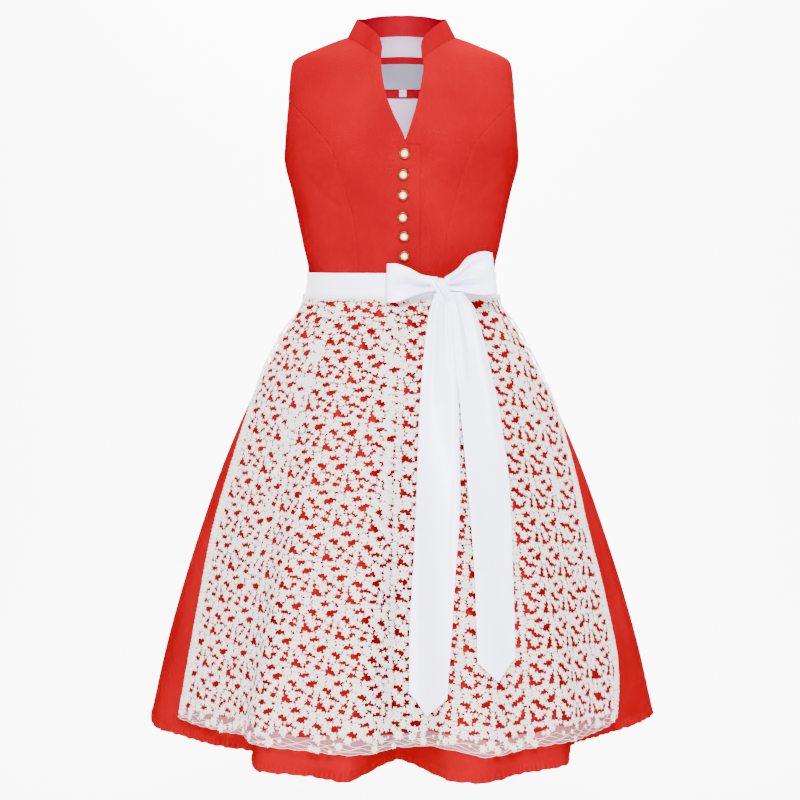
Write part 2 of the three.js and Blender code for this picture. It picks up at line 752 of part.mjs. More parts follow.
function strip(rows) {
  const [x, y, z, wide] = ['x', 'y', 'z', 'wide'].map((key) => curve(rows, 's', key));
  return (s, across) => new THREE.Vector3(x(s), y(s), z(s) + (across * wide(s)) / 2);
}
const [loopLeft, loopRight] = [strip(LOOP_LEFT), strip(LOOP_RIGHT)];
for (const [name, surface] of [
  ['bow_left', (s, across) => loopLeft(100 - s, across)],
  ['bow_right', loopRight],
]) {
  wall({
    name,
    finish: SATIN,
    across: STRIP_BREAKS,
    down: [1, 0, -1],
    chart: (s, v) => [s, v],
    surface,
    thick: THIN,
  });
}

// The knot is a band of satin round the middle of the bow, open behind and drawn in at its two edges.
function knot(across, turn) {
  const pinch = 1 - KNOT.pinch * across * across;
  const y = KNOT.y - (KNOT.deep / 2) * Math.cos(rad(turn)) * pinch;
  const z = KNOT.z + (KNOT.tall / 2) * Math.sin(rad(turn)) * pinch;
  return new THREE.Vector3(KNOT.x + (across * KNOT.wide) / 2, y, z);
}
wall({
  name: 'bow_knot',
  finish: SATIN,
  across: [-1, -0.4, 0.4, 1],
  down: spread(12, KNOT.open, -KNOT.open),
  chart: (across, turn) => [across, turn],
  surface: knot,
  thick: THIN,
});

// ---------------------------------------------------------------- tie tails
// Left and right edge of each tail by height; its foot is cut to a point.
const TAIL_LEFT = [
  { z: -396.2, left: 45, right: 66.4 },
  { z: -420, left: 38.5, right: 68 },
  { z: -451, left: 33, right: 70.5 },
  { z: -529, left: 27.3, right: 76.5 },
  { z: -656, left: 22.5, right: 79 },
  { z: -765, left: 15.5, right: 72.7 },
  { z: -850, left: 11, right: 67 },
  { z: -915, left: 10.8, right: 62.8 },
];
const TAIL_RIGHT = [
  { z: -394.5, left: 67, right: 92 },
  { z: -420, left: 70, right: 107 },
  { z: -451, left: 72.5, right: 114.5 },
  { z: -503, left: 77.5, right: 126.7 },
  { z: -553, left: 81, right: 136.2 },
  { z: -656, left: 89.5, right: 148 },
  { z: -765, left: 97, right: 150.3 },
  { z: -868, left: 100.5, right: 151 },
];
const TAIL_POINT = 27; // height of the pointed foot
const TAIL_CLEAR = 5.8;
const TAIL_OUT = { most: 8, fades: [395, 460] }; // how far the tops stand forward, under the knot

// The apron as a surface over x and z, for what hangs on it.
function overApron(x, z) {
  let angle = THREE.MathUtils.radToDeg(Math.atan2(x, 100));
  for (let i = 0; i < 12; i += 1) {
    const point = apron(angle, z);
    angle += THREE.MathUtils.radToDeg((x - point.x) / -point.y) * 0.8;
  }
  return apron(angle, z);
}

function tailForm(x, z) {
  const point = overApron(x, z);
  point.y -= TAIL_OUT.most * (1 - smooth(-z, ...TAIL_OUT.fades));
  return point;
}

for (const [name, rows] of [['tail_left', TAIL_LEFT], ['tail_right', TAIL_RIGHT]]) {
  const left = curve(rows, 'z', 'left');
  const right = curve(rows, 'z', 'right');
  const foot = rows.at(-1).z;
  const top = rows[0].z;
  wall({
    name,
    finish: SATIN,
    across: steps(4),
    down: [0, 0.03, 0.08, 0.16, 0.26, 0.38, 0.52, 0.68, 0.84, 1],
    chart: (u, v) => {
      const straight = mix(top, foot, v);
      const point = TAIL_POINT * (1 - Math.abs(2 * u - 1)) * smooth(v, 0.6, 1);
      return [mix(left(straight), right(straight), u), straight - point];
    },
    surface: tailForm,
    base: TAIL_CLEAR,
    thick: THIN,
  });
}

// ---------------------------------------------------------------- buttons
const BUTTON = { rim: 7.6, cup: 5.6, pearl: 5.3, foot: 1.2, rise: 2.4, dome: 5 };
const BUTTONS = [-180.7, -209.6, -238.5, -270, -297.5, -326];
const BUTTON_X = [4.3, 2.5, 2.1, 1.8, 3.5, 3.9];
const BUTTON_SIDES = 12;

const lathe = (rows) => new THREE.LatheGeometry(rows.map(([r, y]) => new THREE.Vector2(r, y)), BUTTON_SIDES);
const RIM_PROFILE = [
  [0, 0],
  [BUTTON.cup, 0],
  [BUTTON.rim, BUTTON.foot],
  [BUTTON.cup, BUTTON.rise],
  [BUTTON.cup - 0.3, BUTTON.foot],
  [0, BUTTON.foot],
];
const PEARL_PROFILE = [
  [0, BUTTON.foot + 0.3],
  [BUTTON.cup - 0.9, BUTTON.foot + 0.3],
  [BUTTON.pearl, BUTTON.rise + 0.4],
  [BUTTON.pearl * 0.7, BUTTON.foot + BUTTON.dome * 0.8],
  [0, BUTTON.foot + BUTTON.dome],
];

BUTTONS.forEach((z, i) => {
  const angle = angleAt(BUTTON_X[i], z);
  const seat = lifted(body, angle, z, LIE + 0.2);
  const outward = lifted(body, angle, z, 1).sub(lifted(body, angle, z, 0));
  const turn = new THREE.Quaternion().setFromUnitVectors(new THREE.Vector3(0, 1, 0), outward.normalize());
  for (const [piece, profile, finish] of [['rim', RIM_PROFILE, BRASS], ['pearl', PEARL_PROFILE, PEARL]]) {
    const mesh = named(`button_${piece}_${i + 1}`, lathe(profile), finish);
    mesh.position.copy(seat);
    mesh.quaternion.copy(turn);
  }
});

export default dirndl;
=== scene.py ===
"""Looks of the dirndl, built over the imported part.

Every surface is worked out in millimetres as whole numpy arrays and put into its mesh in metres. A place on
the garment is given by an angle in degrees (0 at the centre front, 90 at the wearer's left side, 180 at the
centre back) and a height z. Grids run with the angle rising along their first index and the height falling
along their second, so that faces point outwards.
"""
import math

import bpy
import numpy as np
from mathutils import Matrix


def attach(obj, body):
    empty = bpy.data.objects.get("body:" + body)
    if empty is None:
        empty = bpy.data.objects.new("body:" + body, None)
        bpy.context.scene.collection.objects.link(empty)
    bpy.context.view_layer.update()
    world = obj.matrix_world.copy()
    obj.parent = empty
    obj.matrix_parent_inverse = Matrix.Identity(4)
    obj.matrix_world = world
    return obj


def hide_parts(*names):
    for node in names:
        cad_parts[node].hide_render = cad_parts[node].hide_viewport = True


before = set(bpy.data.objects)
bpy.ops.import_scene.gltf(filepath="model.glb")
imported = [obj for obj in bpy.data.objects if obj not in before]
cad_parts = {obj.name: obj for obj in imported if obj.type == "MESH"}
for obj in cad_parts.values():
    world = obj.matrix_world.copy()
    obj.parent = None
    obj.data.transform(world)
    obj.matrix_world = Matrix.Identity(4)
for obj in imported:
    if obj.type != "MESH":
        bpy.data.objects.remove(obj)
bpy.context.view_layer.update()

# ------------------------------------------------------------------ camera
# Place of the camera in metres, how far below itself it aims at the dress, its lens and its sensor.
CAMERA = {"side": -0.00225, "away": 2.833, "height": -0.303, "down": 0.24, "lens": 85, "sensor": 36}


def add_camera():
    """Camera in front of the dress, between chest and waist, tilted down by a small angle."""
    lens = bpy.data.cameras.new("camera")
    lens.lens = CAMERA["lens"]
    lens.sensor_width = CAMERA["sensor"]
    lens.dof.use_dof = False
    camera = bpy.data.objects.new("camera", lens)
    bpy.context.scene.collection.objects.link(camera)
    camera.location = (CAMERA["side"], -CAMERA["away"], CAMERA["height"])
    camera.rotation_euler = (math.pi / 2 - math.atan(CAMERA["down"] / CAMERA["away"]), 0, 0)
    bpy.context.scene.camera = camera


add_camera()

# ------------------------------------------------------------------ sizes
CLOTH, THIN, SATIN_WALL = 1.2, 1.0, 0.8  # thickness of the red cloth, of the lining and band, and of the bow
SEAM, LOOSE = 0.4, 0.9  # gap between two panels, and gap between two layers
# Heights of the neck behind, the shoulder's end, the princess seams' tops and the armholes' feet.
NECK, SHOULDER, PRINCESS, UNDERARM = -3, -37, -101, -190
COLLAR_FOOT = -40  # height at which the collar's ends meet the neckline
WAIST, BAND_TOP, BAND_BOTTOM, HEM = -368, -351, -389, -1020
PUCKER = 14  # height of the puckered edge
BACK_NECK = {"rise": 8, "from": -90}  # how much higher the neck lies behind, and where the rise starts
SKIRT_ROUND = 560  # depth below the origin at which the skirt's rings are plain ellipses
PEARL_RADIUS = 5.8


def table(names, rows):
    """The columns of a table as arrays, by name."""
    return dict(zip(names.split(), np.array(rows, float).T))


# Rings of the body: half width, depth before and behind the axis, and exponent of the superellipse.
BODY = table("z half front back square", [
    (6, 62, 34, 60, 2.0), (-3, 77, 40, 62, 2.0), (-10, 97, 46, 66, 2.0), (-20, 122, 56, 70, 2.0),
    (-30, 146, 66, 74, 2.05), (-37, 158, 71, 77, 2.1), (-48, 165, 78, 81, 2.2), (-66, 172, 87, 86, 2.3),
    (-96, 177, 101, 90, 2.4), (-130, 179, 115, 92, 2.4), (-160, 176, 123, 91, 2.4),
    (-190, 173.5, 124, 88, 2.35), (-230, 163.5, 117, 82, 2.3), (-270, 155, 107, 76, 2.3),
    (-310, 147, 98, 71, 2.3), (-351, 139, 93, 70, 2.3), (-368, 139.5, 94, 72, 2.25)])
# Where the bust is fullest, how far it stands out and how wide and tall its bell is.
BUST = {"x": 84, "z": -176, "out": 9, "wide": 44, "tall": 50}
# Distance of the armhole's edge from the side, before and behind it, at each height.
ARMHOLE = table("z front back", [
    (-37, 0, 0), (-48, 17, 13), (-66, 33, 27), (-101, 47, 41), (-130, 50, 44), (-155, 41, 37),
    (-175, 24, 22), (-190, 0, 0)])
FRONT_PRINCESS = table("z x", [
    (-101, 169), (-108, 157), (-121, 144), (-138, 127.5), (-156, 112), (-170, 101), (-194, 92),
    (-233, 79.5), (-289, 66), (-346, 62.5), (-368, 62)])
BACK_PRINCESS = table("z x", [
    (-101, 169), (-108, 157), (-121, 144), (-150, 121), (-200, 94), (-260, 73), (-320, 60), (-368, 56)])
NECK_SEAM = table("angle z", [(22, -40), (35, -30), (52, -18.5), (70, -9), (90, -3)])
NECKLINE_RIGHT = table("z x", [
    (-40, -29.5), (-54, -29), (-69, -27.3), (-86, -24.3), (-100, -20.4), (-125, -10.7), (-147, 0.1),
    (-166, 7.5)])
NECKLINE_LEFT = table("z x", [
    (-40, 31.5), (-54, 32), (-69, 30.3), (-86, 27.5), (-100, 24.1), (-123, 17.8), (-145, 10.9),
    (-159, 5.8), (-172, 0), (-368, 0)])
OVERLAP = {"top": -168, "edge": 27}  # height of its top, and its edge's distance from the centre
# Rings of the skirt. The last column is how far the flutes have opened.
SKIRT = table("z half front back open", [
    (-368, 139.5, 94, 72, 0), (-389, 142.4, 97.5, 77, 0), (-405, 146, 105, 89, 0.02),
    (-422, 156.5, 117, 106, 0.05), (-452, 174, 135, 129, 0.11), (-500, 199.5, 161, 162, 0.22),
    (-560, 231.5, 191, 196, 0.37), (-634, 265.5, 225, 230, 0.53), (-720, 298, 259, 264, 0.69),
    (-817, 330, 292, 296, 0.83), (-920, 359, 323, 326, 0.93), (-1020, 382, 350, 348, 1)])
# Distance of the hem from the axis round the skirt: crests and valleys of the flutes.
FLUTES = table("angle reach", [
    (-90, 381), (-76, 376), (-66, 350), (-51, 325), (-43, 309), (-37, 345), (-30, 381), (-20, 373),
    (-11, 388), (-6.5, 318), (-1, 270), (5, 314), (10, 381), (16, 399), (26, 375), (36, 375), (44, 338),
    (53, 309), (65, 324), (78, 358), (90, 384), (104, 352), (115, 307), (128, 372), (142, 366),
    (153, 288), (165, 368), (180, 377), (196, 357), (207, 291), (219, 364), (233, 374), (245, 312),
    (256, 350), (270, 381)])
GATHERS = {"count": 28, "deepest": 4.5}  # waves round the skirt and their greatest height
GATHER_FADE = table("z part", [
    (-368, 0), (-389, 0.1), (-405, 0.75), (-440, 1), (-520, 0.85), (-640, 0.35), (-760, 0), (-1020, 0)])
# Height of the lace's top, its length with the net, the net's own, and its distance from the skirt's crests
# at the band and, further down, from a height on.
APRON = {"top": -389.4, "length": 599, "net": 21, "clear_top": 2, "clear": 7, "clear_from": -450}
APRON_SIDES = table("z left right", [
    (-389, -97, 96), (-470, -90, 93), (-533, -77.2, 84.5), (-601, -72.4, 76.5), (-645, -71.3, 74.3),
    (-720, -70.4, 71.8), (-820, -68, 71.2), (-905, -66.6, 70.5), (-950, -66.2, 68), (-990, -66, 64)])
APRON_FLUTES = table("angle reach", [
    (-100, 380), (-76, 377), (-67, 355), (-57, 342), (-49, 334), (-41, 342), (-31, 383), (-20, 380),
    (-11, 391), (-6, 370), (-1, 334), (4, 338), (11, 388), (17, 403), (26, 383), (38, 377), (48, 352),
    (58, 343), (68, 348), (78, 364), (100, 386)])
# How much lower than its length the lace hangs at each angle.
APRON_DROP = table("angle extra", [
    (-66, 5), (-58, 6), (-48, 5), (-37, -3), (-18, -3), (-11, -4), (-5, -2), (2, -3), (9, -9), (12, -8),
    (16, -2), (30, -2), (38, 0), (48, 6), (59, 9), (63, 4)])
# Laid pleats: angle at the band, angle and height of the end, width in degrees, and height.
PLEATS = table("top foot end wide high", [
    (-45, -52, -560, 5, 3.5), (-6, -3, -640, 4, 3.5), (62, 58, -540, 6, 3.5), (-75, -70, -520, 5, 3),
    (28, 25, -520, 5, 3)])


# ------------------------------------------------------------------ curves and forms
def curve(xs, ys):
    """Smooth curve through points, as a function of arrays. Between two points it is a cubic. Its slope at a
    point is the weighted harmonic mean of the slopes on both sides, or level at a peak, so that it never
    overshoots."""
    order = np.argsort(xs)
    xs, ys = np.asarray(xs, float)[order], np.asarray(ys, float)[order]
    step = np.diff(xs)
    rise = np.diff(ys) / step
    slope = np.concatenate([rise[:1], np.zeros(len(xs) - 2), rise[-1:]])
    if len(xs) > 2:
        left, right, a, b = step[:-1], step[1:], rise[:-1], rise[1:]
        same = a * b > 0
        a, b = np.where(same, a, 1), np.where(same, b, 1)
        mean = 3 * (left + right) / ((2 * right + left) / a + (right + 2 * left) / b)
        slope[1:-1] = np.where(same, mean, 0)

    def at(x):
        x = np.clip(x, xs[0], xs[-1])
        i = np.clip(np.searchsorted(xs, x, side="right") - 1, 0, len(xs) - 2)
        t = (x - xs[i]) / step[i]
        bend = (ys[i + 1] - ys[i]) * t * t * (3 - 2 * t)
        return ys[i] + bend + step[i] * (t * (1 - t) ** 2 * slope[i] + t * t * (t - 1) * slope[i + 1])

    return at


def along(source, key, value):
    """Curve through two named columns of a table."""
    return curve(source[key], source[value])


def mix(a, b, t):
    """Value at the share t of the way from a to b."""
    return a + (b - a) * t


def smooth(x, low, high):
    """Smooth step from 0 at low to 1 at high."""
    t = np.clip((x - low) / (high - low), 0, 1)
    return t * t * (3 - 2 * t)


def bump(x, middle, wide):
    """Bell of height 1 around the middle."""
    return np.exp(-(((x - middle) / wide) ** 2))


def ring_reach(angle, half, depth, square):
    """Distance from the axis to a superellipse in the direction of an angle: the direction's two shares,
    over the half width and the depth, are each raised to the exponent and summed, and the negative root of
    the sum is taken."""
    a = np.radians(angle)
    side, fore = np.abs(np.sin(a)) / half, np.abs(np.cos(a)) / depth
    return (side ** square + fore ** square) ** (-1 / square)


def place(angle, reach, z):
    """Point at an angle, a distance from the axis and a height."""
    a = np.radians(angle)
    return np.stack(np.broadcast_arrays(reach * np.sin(a), -reach * np.cos(a), z), -1).astype(float)


def is_front(angle):
    """True for directions that point forwards."""
    return np.cos(np.radians(angle)) > 0


body_half, body_front = along(BODY, "z", "half"), along(BODY, "z", "front")
body_back, body_square = along(BODY, "z", "back"), along(BODY, "z", "square")
skirt_half, skirt_front = along(SKIRT, "z", "half"), along(SKIRT, "z", "front")
skirt_back, skirt_open = along(SKIRT, "z", "back"), along(SKIRT, "z", "open")
flute_reach, gather_part = along(FLUTES, "angle", "reach"), along(GATHER_FADE, "z", "part")
apron_reach = along(APRON_FLUTES, "angle", "reach")
apron_left, apron_right = along(APRON_SIDES, "z", "left"), along(APRON_SIDES, "z", "right")
apron_drop = along(APRON_DROP, "angle", "extra")


def body(angle, z):
    """Bodice: superellipse rings, with the bust's fullness in front and the neck raised behind."""
    depth = np.where(is_front(angle), body_front(z), body_back(z))
    point = place(angle, ring_reach(angle, body_half(z), depth, body_square(z)), z)
    full = bump(np.abs(point[..., 0]), BUST["x"], BUST["wide"]) * bump(z, BUST["z"], BUST["tall"])
    point[..., 1] -= np.where(is_front(angle), BUST["out"] * full, 0)
    rise = BACK_NECK["rise"] * np.cos(np.radians(angle)) ** 2 * smooth(z, BACK_NECK["from"], NECK)
    point[..., 2] += np.where(is_front(angle), 0, rise)
    return point


def halved(shape, low, high, short, steps=30):
    """Array of values up to which a test is true, between low and high, found by halving the interval."""
    low, high = np.full(shape, float(low)), np.full(shape, float(high))
    for _ in range(steps):
        middle = (low + high) / 2
        below = short(middle)
        low, high = np.where(below, middle, low), np.where(below, high, middle)
    return low


def angle_at(x, z, behind=False):
    """Angle of the point on the body's ring that lies at a given x."""
    x, z = np.broadcast_arrays(np.asarray(x, float), np.asarray(z, float))

    def nearer(angle):
        return np.abs(body(180 - angle if behind else angle, z)[..., 0]) < np.abs(x)

    angle = halved(x.shape, 0, 90, nearer)
    return np.where(x < 0, -1, 1) * (180 - angle if behind else angle)


def plain_reach(angle, z):
    """The skirt without its flutes: superellipse rings that turn into ellipses below the band."""
    depth = np.where(is_front(angle), skirt_front(z), skirt_back(z))
    square = mix(body_square(WAIST), 2, smooth(-z, -BAND_BOTTOM, SKIRT_ROUND))
    return ring_reach(angle, skirt_half(z), depth, square)


def fluted(angle, z, edge):
    """The plain ring, drawn in or out in proportion to the edge's reach as the flutes open."""
    return plain_reach(angle, z) * mix(1, edge / plain_reach(angle, np.float64(HEM)), skirt_open(z))


def gather(angle, z):
    """Gathers below the waist: even waves round the skirt that fade downwards."""
    return GATHERS["deepest"] * gather_part(z) * np.cos(np.radians(angle) * GATHERS["count"])


def skirt(angle, z):
    """Skirt: the plain rings drawn in and out by the flutes, with the gathers on them."""
    around = (angle + 90) % 360 - 90
    return place(angle, fluted(angle, z, flute_reach(around)) + gather(angle, z), z)


def apron(angle, z):
    """Lace: clear of the skirt's crests, across its valleys, with the laid pleats raised below the band."""
    clear = mix(APRON["clear_top"], APRON["clear"], smooth(-z, -APRON["top"], -APRON["clear_from"]))
    over = GATHERS["deepest"] * gather_part(z) + clear
    for top, foot, end, wide, high in zip(*PLEATS.values()):
        share = np.clip((z - APRON["top"]) / (end - APRON["top"]), 0, 1)
        raised = high * smooth(share, 0, 0.04) * (1 - smooth(share, 0.6, 1))
        over = over + raised * bump(angle, mix(top, foot, share), wide)
    return place(angle, fluted(angle, z, apron_reach(angle)) + over, z)


# ------------------------------------------------------------------ meshes
def normals(grid):
    """Unit normals of a grid: the cross product of its differences down and along."""
    n = np.cross(np.gradient(grid, axis=1), np.gradient(grid, axis=0))
    return n / np.maximum(np.linalg.norm(n, axis=-1, keepdims=True), 1e-9)


def lifted(grid, height):
    """The grid moved along its normals by a height in millimetres."""
    return grid + normals(grid) * np.asarray(height, float)[..., None]


def lengths(grid):
    """Distances along and down a grid from its first corner, in millimetres, for the weave."""
    across = np.linalg.norm(np.diff(grid, axis=0), axis=-1).mean(1)
    down = np.linalg.norm(np.diff(grid, axis=1), axis=-1).mean(0)
    u, v = np.concatenate([[0], np.cumsum(across)]), np.concatenate([[0], np.cumsum(down)])
    return np.stack(np.meshgrid(u, -v, indexing="ij"), -1)


def new_mesh(name, verts, faces, uv, materials):
    """Smooth mesh object from vertices in millimetres, faces and a UV for each vertex."""
    mesh = bpy.data.meshes.new(name)
    mesh.from_pydata((verts * 0.001).tolist(), [], [list(map(int, face)) for face in faces])
    layer = mesh.uv_layers.new(name="cloth")
    index = np.zeros(len(mesh.loops), np.int32)
    mesh.loops.foreach_get("vertex_index", index)
    layer.data.foreach_set("uv", (uv[index] * 0.001).ravel().astype(np.float32))
    mesh.polygons.foreach_set("use_smooth", np.full(len(mesh.polygons), True))
    for material in materials:
        mesh.materials.append(material)
    mesh.update()
    obj = bpy.data.objects.new(name, mesh)
    bpy.context.scene.collection.objects.link(obj)
    return obj


def grid_faces(count, closed=False):
    """Faces of a grid of count points, its first index closed into a ring if asked."""
    m, n = count
    i, j = np.meshgrid(np.arange(m if closed else m - 1), np.arange(n - 1), indexing="ij")
    right = (i + 1) % m
    return np.stack([i * n + j, i * n + j + 1, right * n + j + 1, right * n + j], -1).reshape(-1, 4)


def finish_piece(obj, node=None):
    """The piece rides on the dress and stands for its node."""
    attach(obj, "root")
    if node:
        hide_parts(node)


def sharp_rim(mesh, count):
    """Marks the outer edges of a grid sharp, so that its wall doesn't shade the face beside it."""
    m, n = count
    ends = np.empty(len(mesh.edges) * 2, np.int32)
    mesh.edges.foreach_get("vertices", ends)
    i, j = np.divmod(ends.reshape(-1, 2), n)
    rim = (i == 0).all(1) | (i == m - 1).all(1) | (j == 0).all(1) | (j == n - 1).all(1)
    mesh.attributes.new("sharp_edge", "BOOLEAN", "EDGE").data.foreach_set("value", rim)


def cloth(name, grid, materials, thick=CLOTH, uv=None):
    """Thin wall of cloth that stands for the node of its name: the grid is its outer face, and its wall goes
    inwards. A second material is its inner face. Its own area is the flat cut of what shows."""
    uv = lengths(grid) if uv is None else uv
    count = grid.shape[:2]
    obj = new_mesh(name + "_cloth", grid.reshape(-1, 3), grid_faces(count), uv.reshape(-1, 2), materials)
    sharp_rim(obj.data, count)
    wall = obj.modifiers.new("wall", "SOLIDIFY")
    wall.thickness = thick * 0.001
    wall.offset = -1
    wall.use_even_offset = False
    wall.material_offset = len(materials) - 1
    finish_piece(obj, name)


# ------------------------------------------------------------------ materials
def linear(code):
    """Linear colour of an sRGB hex value."""
    c = np.array([int(code[i:i + 2], 16) for i in (1, 3, 5)]) / 255
    return (*np.where(c <= 0.04045, c / 12.92, ((c + 0.055) / 1.055) ** 2.4), 1.0)


def add(tree, kind, values=None, links=None, stops=(), **settings):
    """Adds a shader node, sets its properties and sockets, and links outputs into it. Stops are the places
    and hex colours of a colour ramp."""
    node = tree.nodes.new("ShaderNode" + kind)
    for key, value in settings.items():
        setattr(node, key, value)
    for key, value in (values or {}).items():
        node.inputs[key].default_value = value
    for key, output in (links or {}).items():
        tree.links.new(output, node.inputs[key])
    for i, (position, code) in enumerate(stops):
        ends = node.color_ramp.elements
        stop = ends[i] if i < 2 else ends.new(position)
        stop.position = position
        stop.color = linear(code)
    return node


def start_material(name, **sockets):
    """New material with its shader's own sockets set. Gives the material, its node tree and its shader."""
    material = bpy.data.materials.new(name)
    material.use_nodes = True
    shader = material.node_tree.nodes["Principled BSDF"]
    for key, value in sockets.items():
        shader.inputs[key.replace("_", " ")].default_value = value
    return material, material.node_tree, shader


def connect(tree, shader, colour, height=None, strength=0.1, distance=0.5):
    """Links a colour into the shader, and raises its surface by a height, whose full swing is a distance in
    millimetres, weakened by a strength."""
    tree.links.new(colour, shader.inputs["Base Color"])
    if height is not None:
        bumps = add(tree, "Bump", {"Strength": strength, "Distance": distance / 1000}, {"Height": height})
        tree.links.new(bumps.outputs["Normal"], shader.inputs["Normal"])


WAVE_TURN = 20  # radians in a metre that a wave texture runs through for each unit of its scale


def woven(name, light, dark, spacing=6.9, depth=0.16, slub=0.25, roughness=0.85, gloss=0.0):
    """Plain weave: two sets of bands across each other raise the surface, at a spacing in millimetres. The
    real one of about 0.5 mm is too fine to show on a whole dress, so the bands are drawn 4 to 7 mm apart and
    faint, as coarse as they need to be. Soft noise, 1 mm wide and 17 mm long, lies along each set for the
    uneven threads, and a wide cloud of noise is the unevenness of the dye."""
    material, tree, shader = start_material(name, Roughness=roughness, Specular_IOR_Level=gloss)
    uv = add(tree, "UVMap", uv_map="cloth").outputs["UV"]
    scale = 2 * math.pi / (spacing / 1000 * WAVE_TURN)
    bands = [add(tree, "TexWave", {"Scale": scale, "Distortion": 0.6, "Detail": 1.0}, {"Vector": uv},
                 bands_direction=axis).outputs["Fac"] for axis in "XY"]
    weave = add(tree, "Math", links={0: bands[0], 1: bands[1]}, operation="MULTIPLY").outputs[0]
    threads = []
    for stretch in ((900, 60, 1), (60, 900, 1)):
        mapped = add(tree, "Mapping", {"Scale": stretch}, {"Vector": uv}).outputs["Vector"]
        noise = add(tree, "TexNoise", {"Scale": 1.0, "Detail": 3.0}, {"Vector": mapped})
        threads.append(noise.outputs["Fac"])
    slubs = add(tree, "Math", links={0: threads[0], 1: threads[1]}, operation="MAXIMUM").outputs[0]
    cloud = add(tree, "TexNoise", {"Scale": 9.0, "Detail": 2.0}, {"Vector": uv}).outputs["Fac"]
    shade = add(tree, "Mix", {0: slub}, {2: cloud, 3: slubs}, data_type="FLOAT").outputs[0]
    colour = add(tree, "ValToRGB", links={"Fac": shade}, stops=[(0.36, dark), (0.6, light)])
    height = add(tree, "Mix", {0: 0.5}, {2: weave, 3: slubs}, data_type="FLOAT").outputs[0]
    connect(tree, shader, colour.outputs["Color"], height, depth, 0.6)
    return material


def satin_cloth():
    """Polyester satin, its long warp floats on the face: near white, with a soft wide gloss, cool shadows
    and a faint grain along the floats."""
    material, tree, shader = start_material("polyester satin", Roughness=0.36, Sheen_Weight=0.2,
                                            Sheen_Roughness=0.3, Specular_IOR_Level=0.45)
    uv = add(tree, "UVMap", uv_map="cloth").outputs["UV"]
    mapped = add(tree, "Mapping", {"Scale": (40, 700, 1)}, {"Vector": uv}).outputs["Vector"]
    floats = add(tree, "TexNoise", {"Scale": 1.0, "Detail": 2.0}, {"Vector": mapped}).outputs["Fac"]
    colour = add(tree, "ValToRGB", links={"Fac": floats}, stops=[(0.3, "#D2D2EE"), (0.7, "#DCDCF6")])
    connect(tree, shader, colour.outputs["Color"], floats, 0.06, 0.4)
    return material


def lace_thread():
    """Cotton guipure embroidery: matte ivory thread laid from each flower's middle to its petals' tips, thin
    enough to let some light through. The UV of a flower is centred on it and drawn to one radius for all
    sizes, so its angle gives the 30 ribs of thread, and its distance the straw middle and the painted shade
    at the rim, a darker colour where the petals turn down."""
    material, tree, shader = start_material("cotton guipure thread", Roughness=0.92, Sheen_Weight=0.25,
                                            Sheen_Roughness=0.5, Specular_IOR_Level=0.2)
    uv = add(tree, "UVMap", uv_map="cloth").outputs["UV"]
    parts = add(tree, "SeparateXYZ", links={"Vector": uv})
    angle = add(tree, "Math", links={0: parts.outputs["Y"], 1: parts.outputs["X"]}, operation="ARCTAN2")
    ribs = add(tree, "Math", {1: 30.0}, {0: angle.outputs[0]}, operation="MULTIPLY")
    ribs = add(tree, "Math", links={0: ribs.outputs[0]}, operation="SINE").outputs[0]
    spot = add(tree, "TexNoise", {"Scale": 900.0, "Detail": 2.0},
               {"Vector": add(tree, "TexCoord").outputs["Object"]}).outputs["Fac"]
    far = add(tree, "VectorMath", links={0: uv}, operation="LENGTH").outputs["Value"]
    eye = add(tree, "MapRange", {"From Min": 0.0, "From Max": 0.0026, "To Min": 1.0, "To Max": 0.0},
              {"Value": far}).outputs[0]
    base = add(tree, "ValToRGB", links={"Fac": spot}, stops=[(0.3, "#E6DFD4"), (0.65, "#F8F5EF")])
    # Painted shade: towards the petals' tips the colour darkens to #C4B6AC, where the petals turn down.
    rim = add(tree, "MapRange", {"From Min": 0.0058, "From Max": 0.0084, "To Min": 0.0, "To Max": 1.0},
              {"Value": far}).outputs[0]
    shaded = add(tree, "Mix", {7: linear("#C4B6AC")}, {0: rim, 6: base.outputs["Color"]},
                 data_type="RGBA").outputs[2]
    colour = add(tree, "Mix", {7: linear("#E4DDBC")}, {0: eye, 6: shaded}, data_type="RGBA").outputs[2]
    height = add(tree, "Mix", {0: 0.6}, {2: ribs, 3: spot}, data_type="FLOAT").outputs[0]
    connect(tree, shader, colour, height, 0.5, 0.5)
    through = add(tree, "BsdfTranslucent", links={"Color": colour})
    both = add(tree, "MixShader", {0: 0.45}, {1: shader.outputs[0], 2: through.outputs[0]})
    tree.links.new(both.outputs[0], tree.nodes["Material Output"].inputs["Surface"])
    return material


def tulle():
    """Fine nylon net. Its hexagons of about 1 mm are too fine to draw, so it is a thin even veil: what lies
    behind it shows through, a little paler."""
    material, tree, shader = start_material("nylon tulle", Roughness=0.8, Alpha=0.1)
    spot = add(tree, "TexNoise", {"Scale": 500.0},
               {"Vector": add(tree, "TexCoord").outputs["Object"]}).outputs["Fac"]
    colour = add(tree, "ValToRGB", links={"Fac": spot}, stops=[(0.3, "#EED2D8"), (0.7, "#F4DEE2")])
    connect(tree, shader, colour.outputs["Color"])
    return material


def pearl_bead():
    """Imitation pearl: dipped lacquer over a cream bead, with a clear gloss. Its UV is centred on the bead,
    and its colour is painted darker and browner towards the rim: painted shade where the dome turns away,
    and a painted reflection of the brass beside it."""
    material, tree, shader = start_material("pearl lacquer", Roughness=0.25, Coat_Weight=0.8,
                                            Coat_Roughness=0.1, Specular_IOR_Level=0.5)
    uv = add(tree, "UVMap", uv_map="cloth").outputs["UV"]
    far = add(tree, "VectorMath", links={0: uv}, operation="LENGTH").outputs["Value"]
    share = add(tree, "Math", {1: PEARL_RADIUS / 1000}, {0: far}, operation="DIVIDE").outputs[0]
    # Painted shade and reflection: cream in the middle, then browner and darker out to the rim.
    colour = add(tree, "ValToRGB", links={"Fac": share},
                 stops=[(0.1, "#F6E8CC"), (0.5, "#DCC292"), (0.85, "#A87E48"), (1.0, "#5E3A1A")])
    connect(tree, shader, colour.outputs["Color"])
    return material


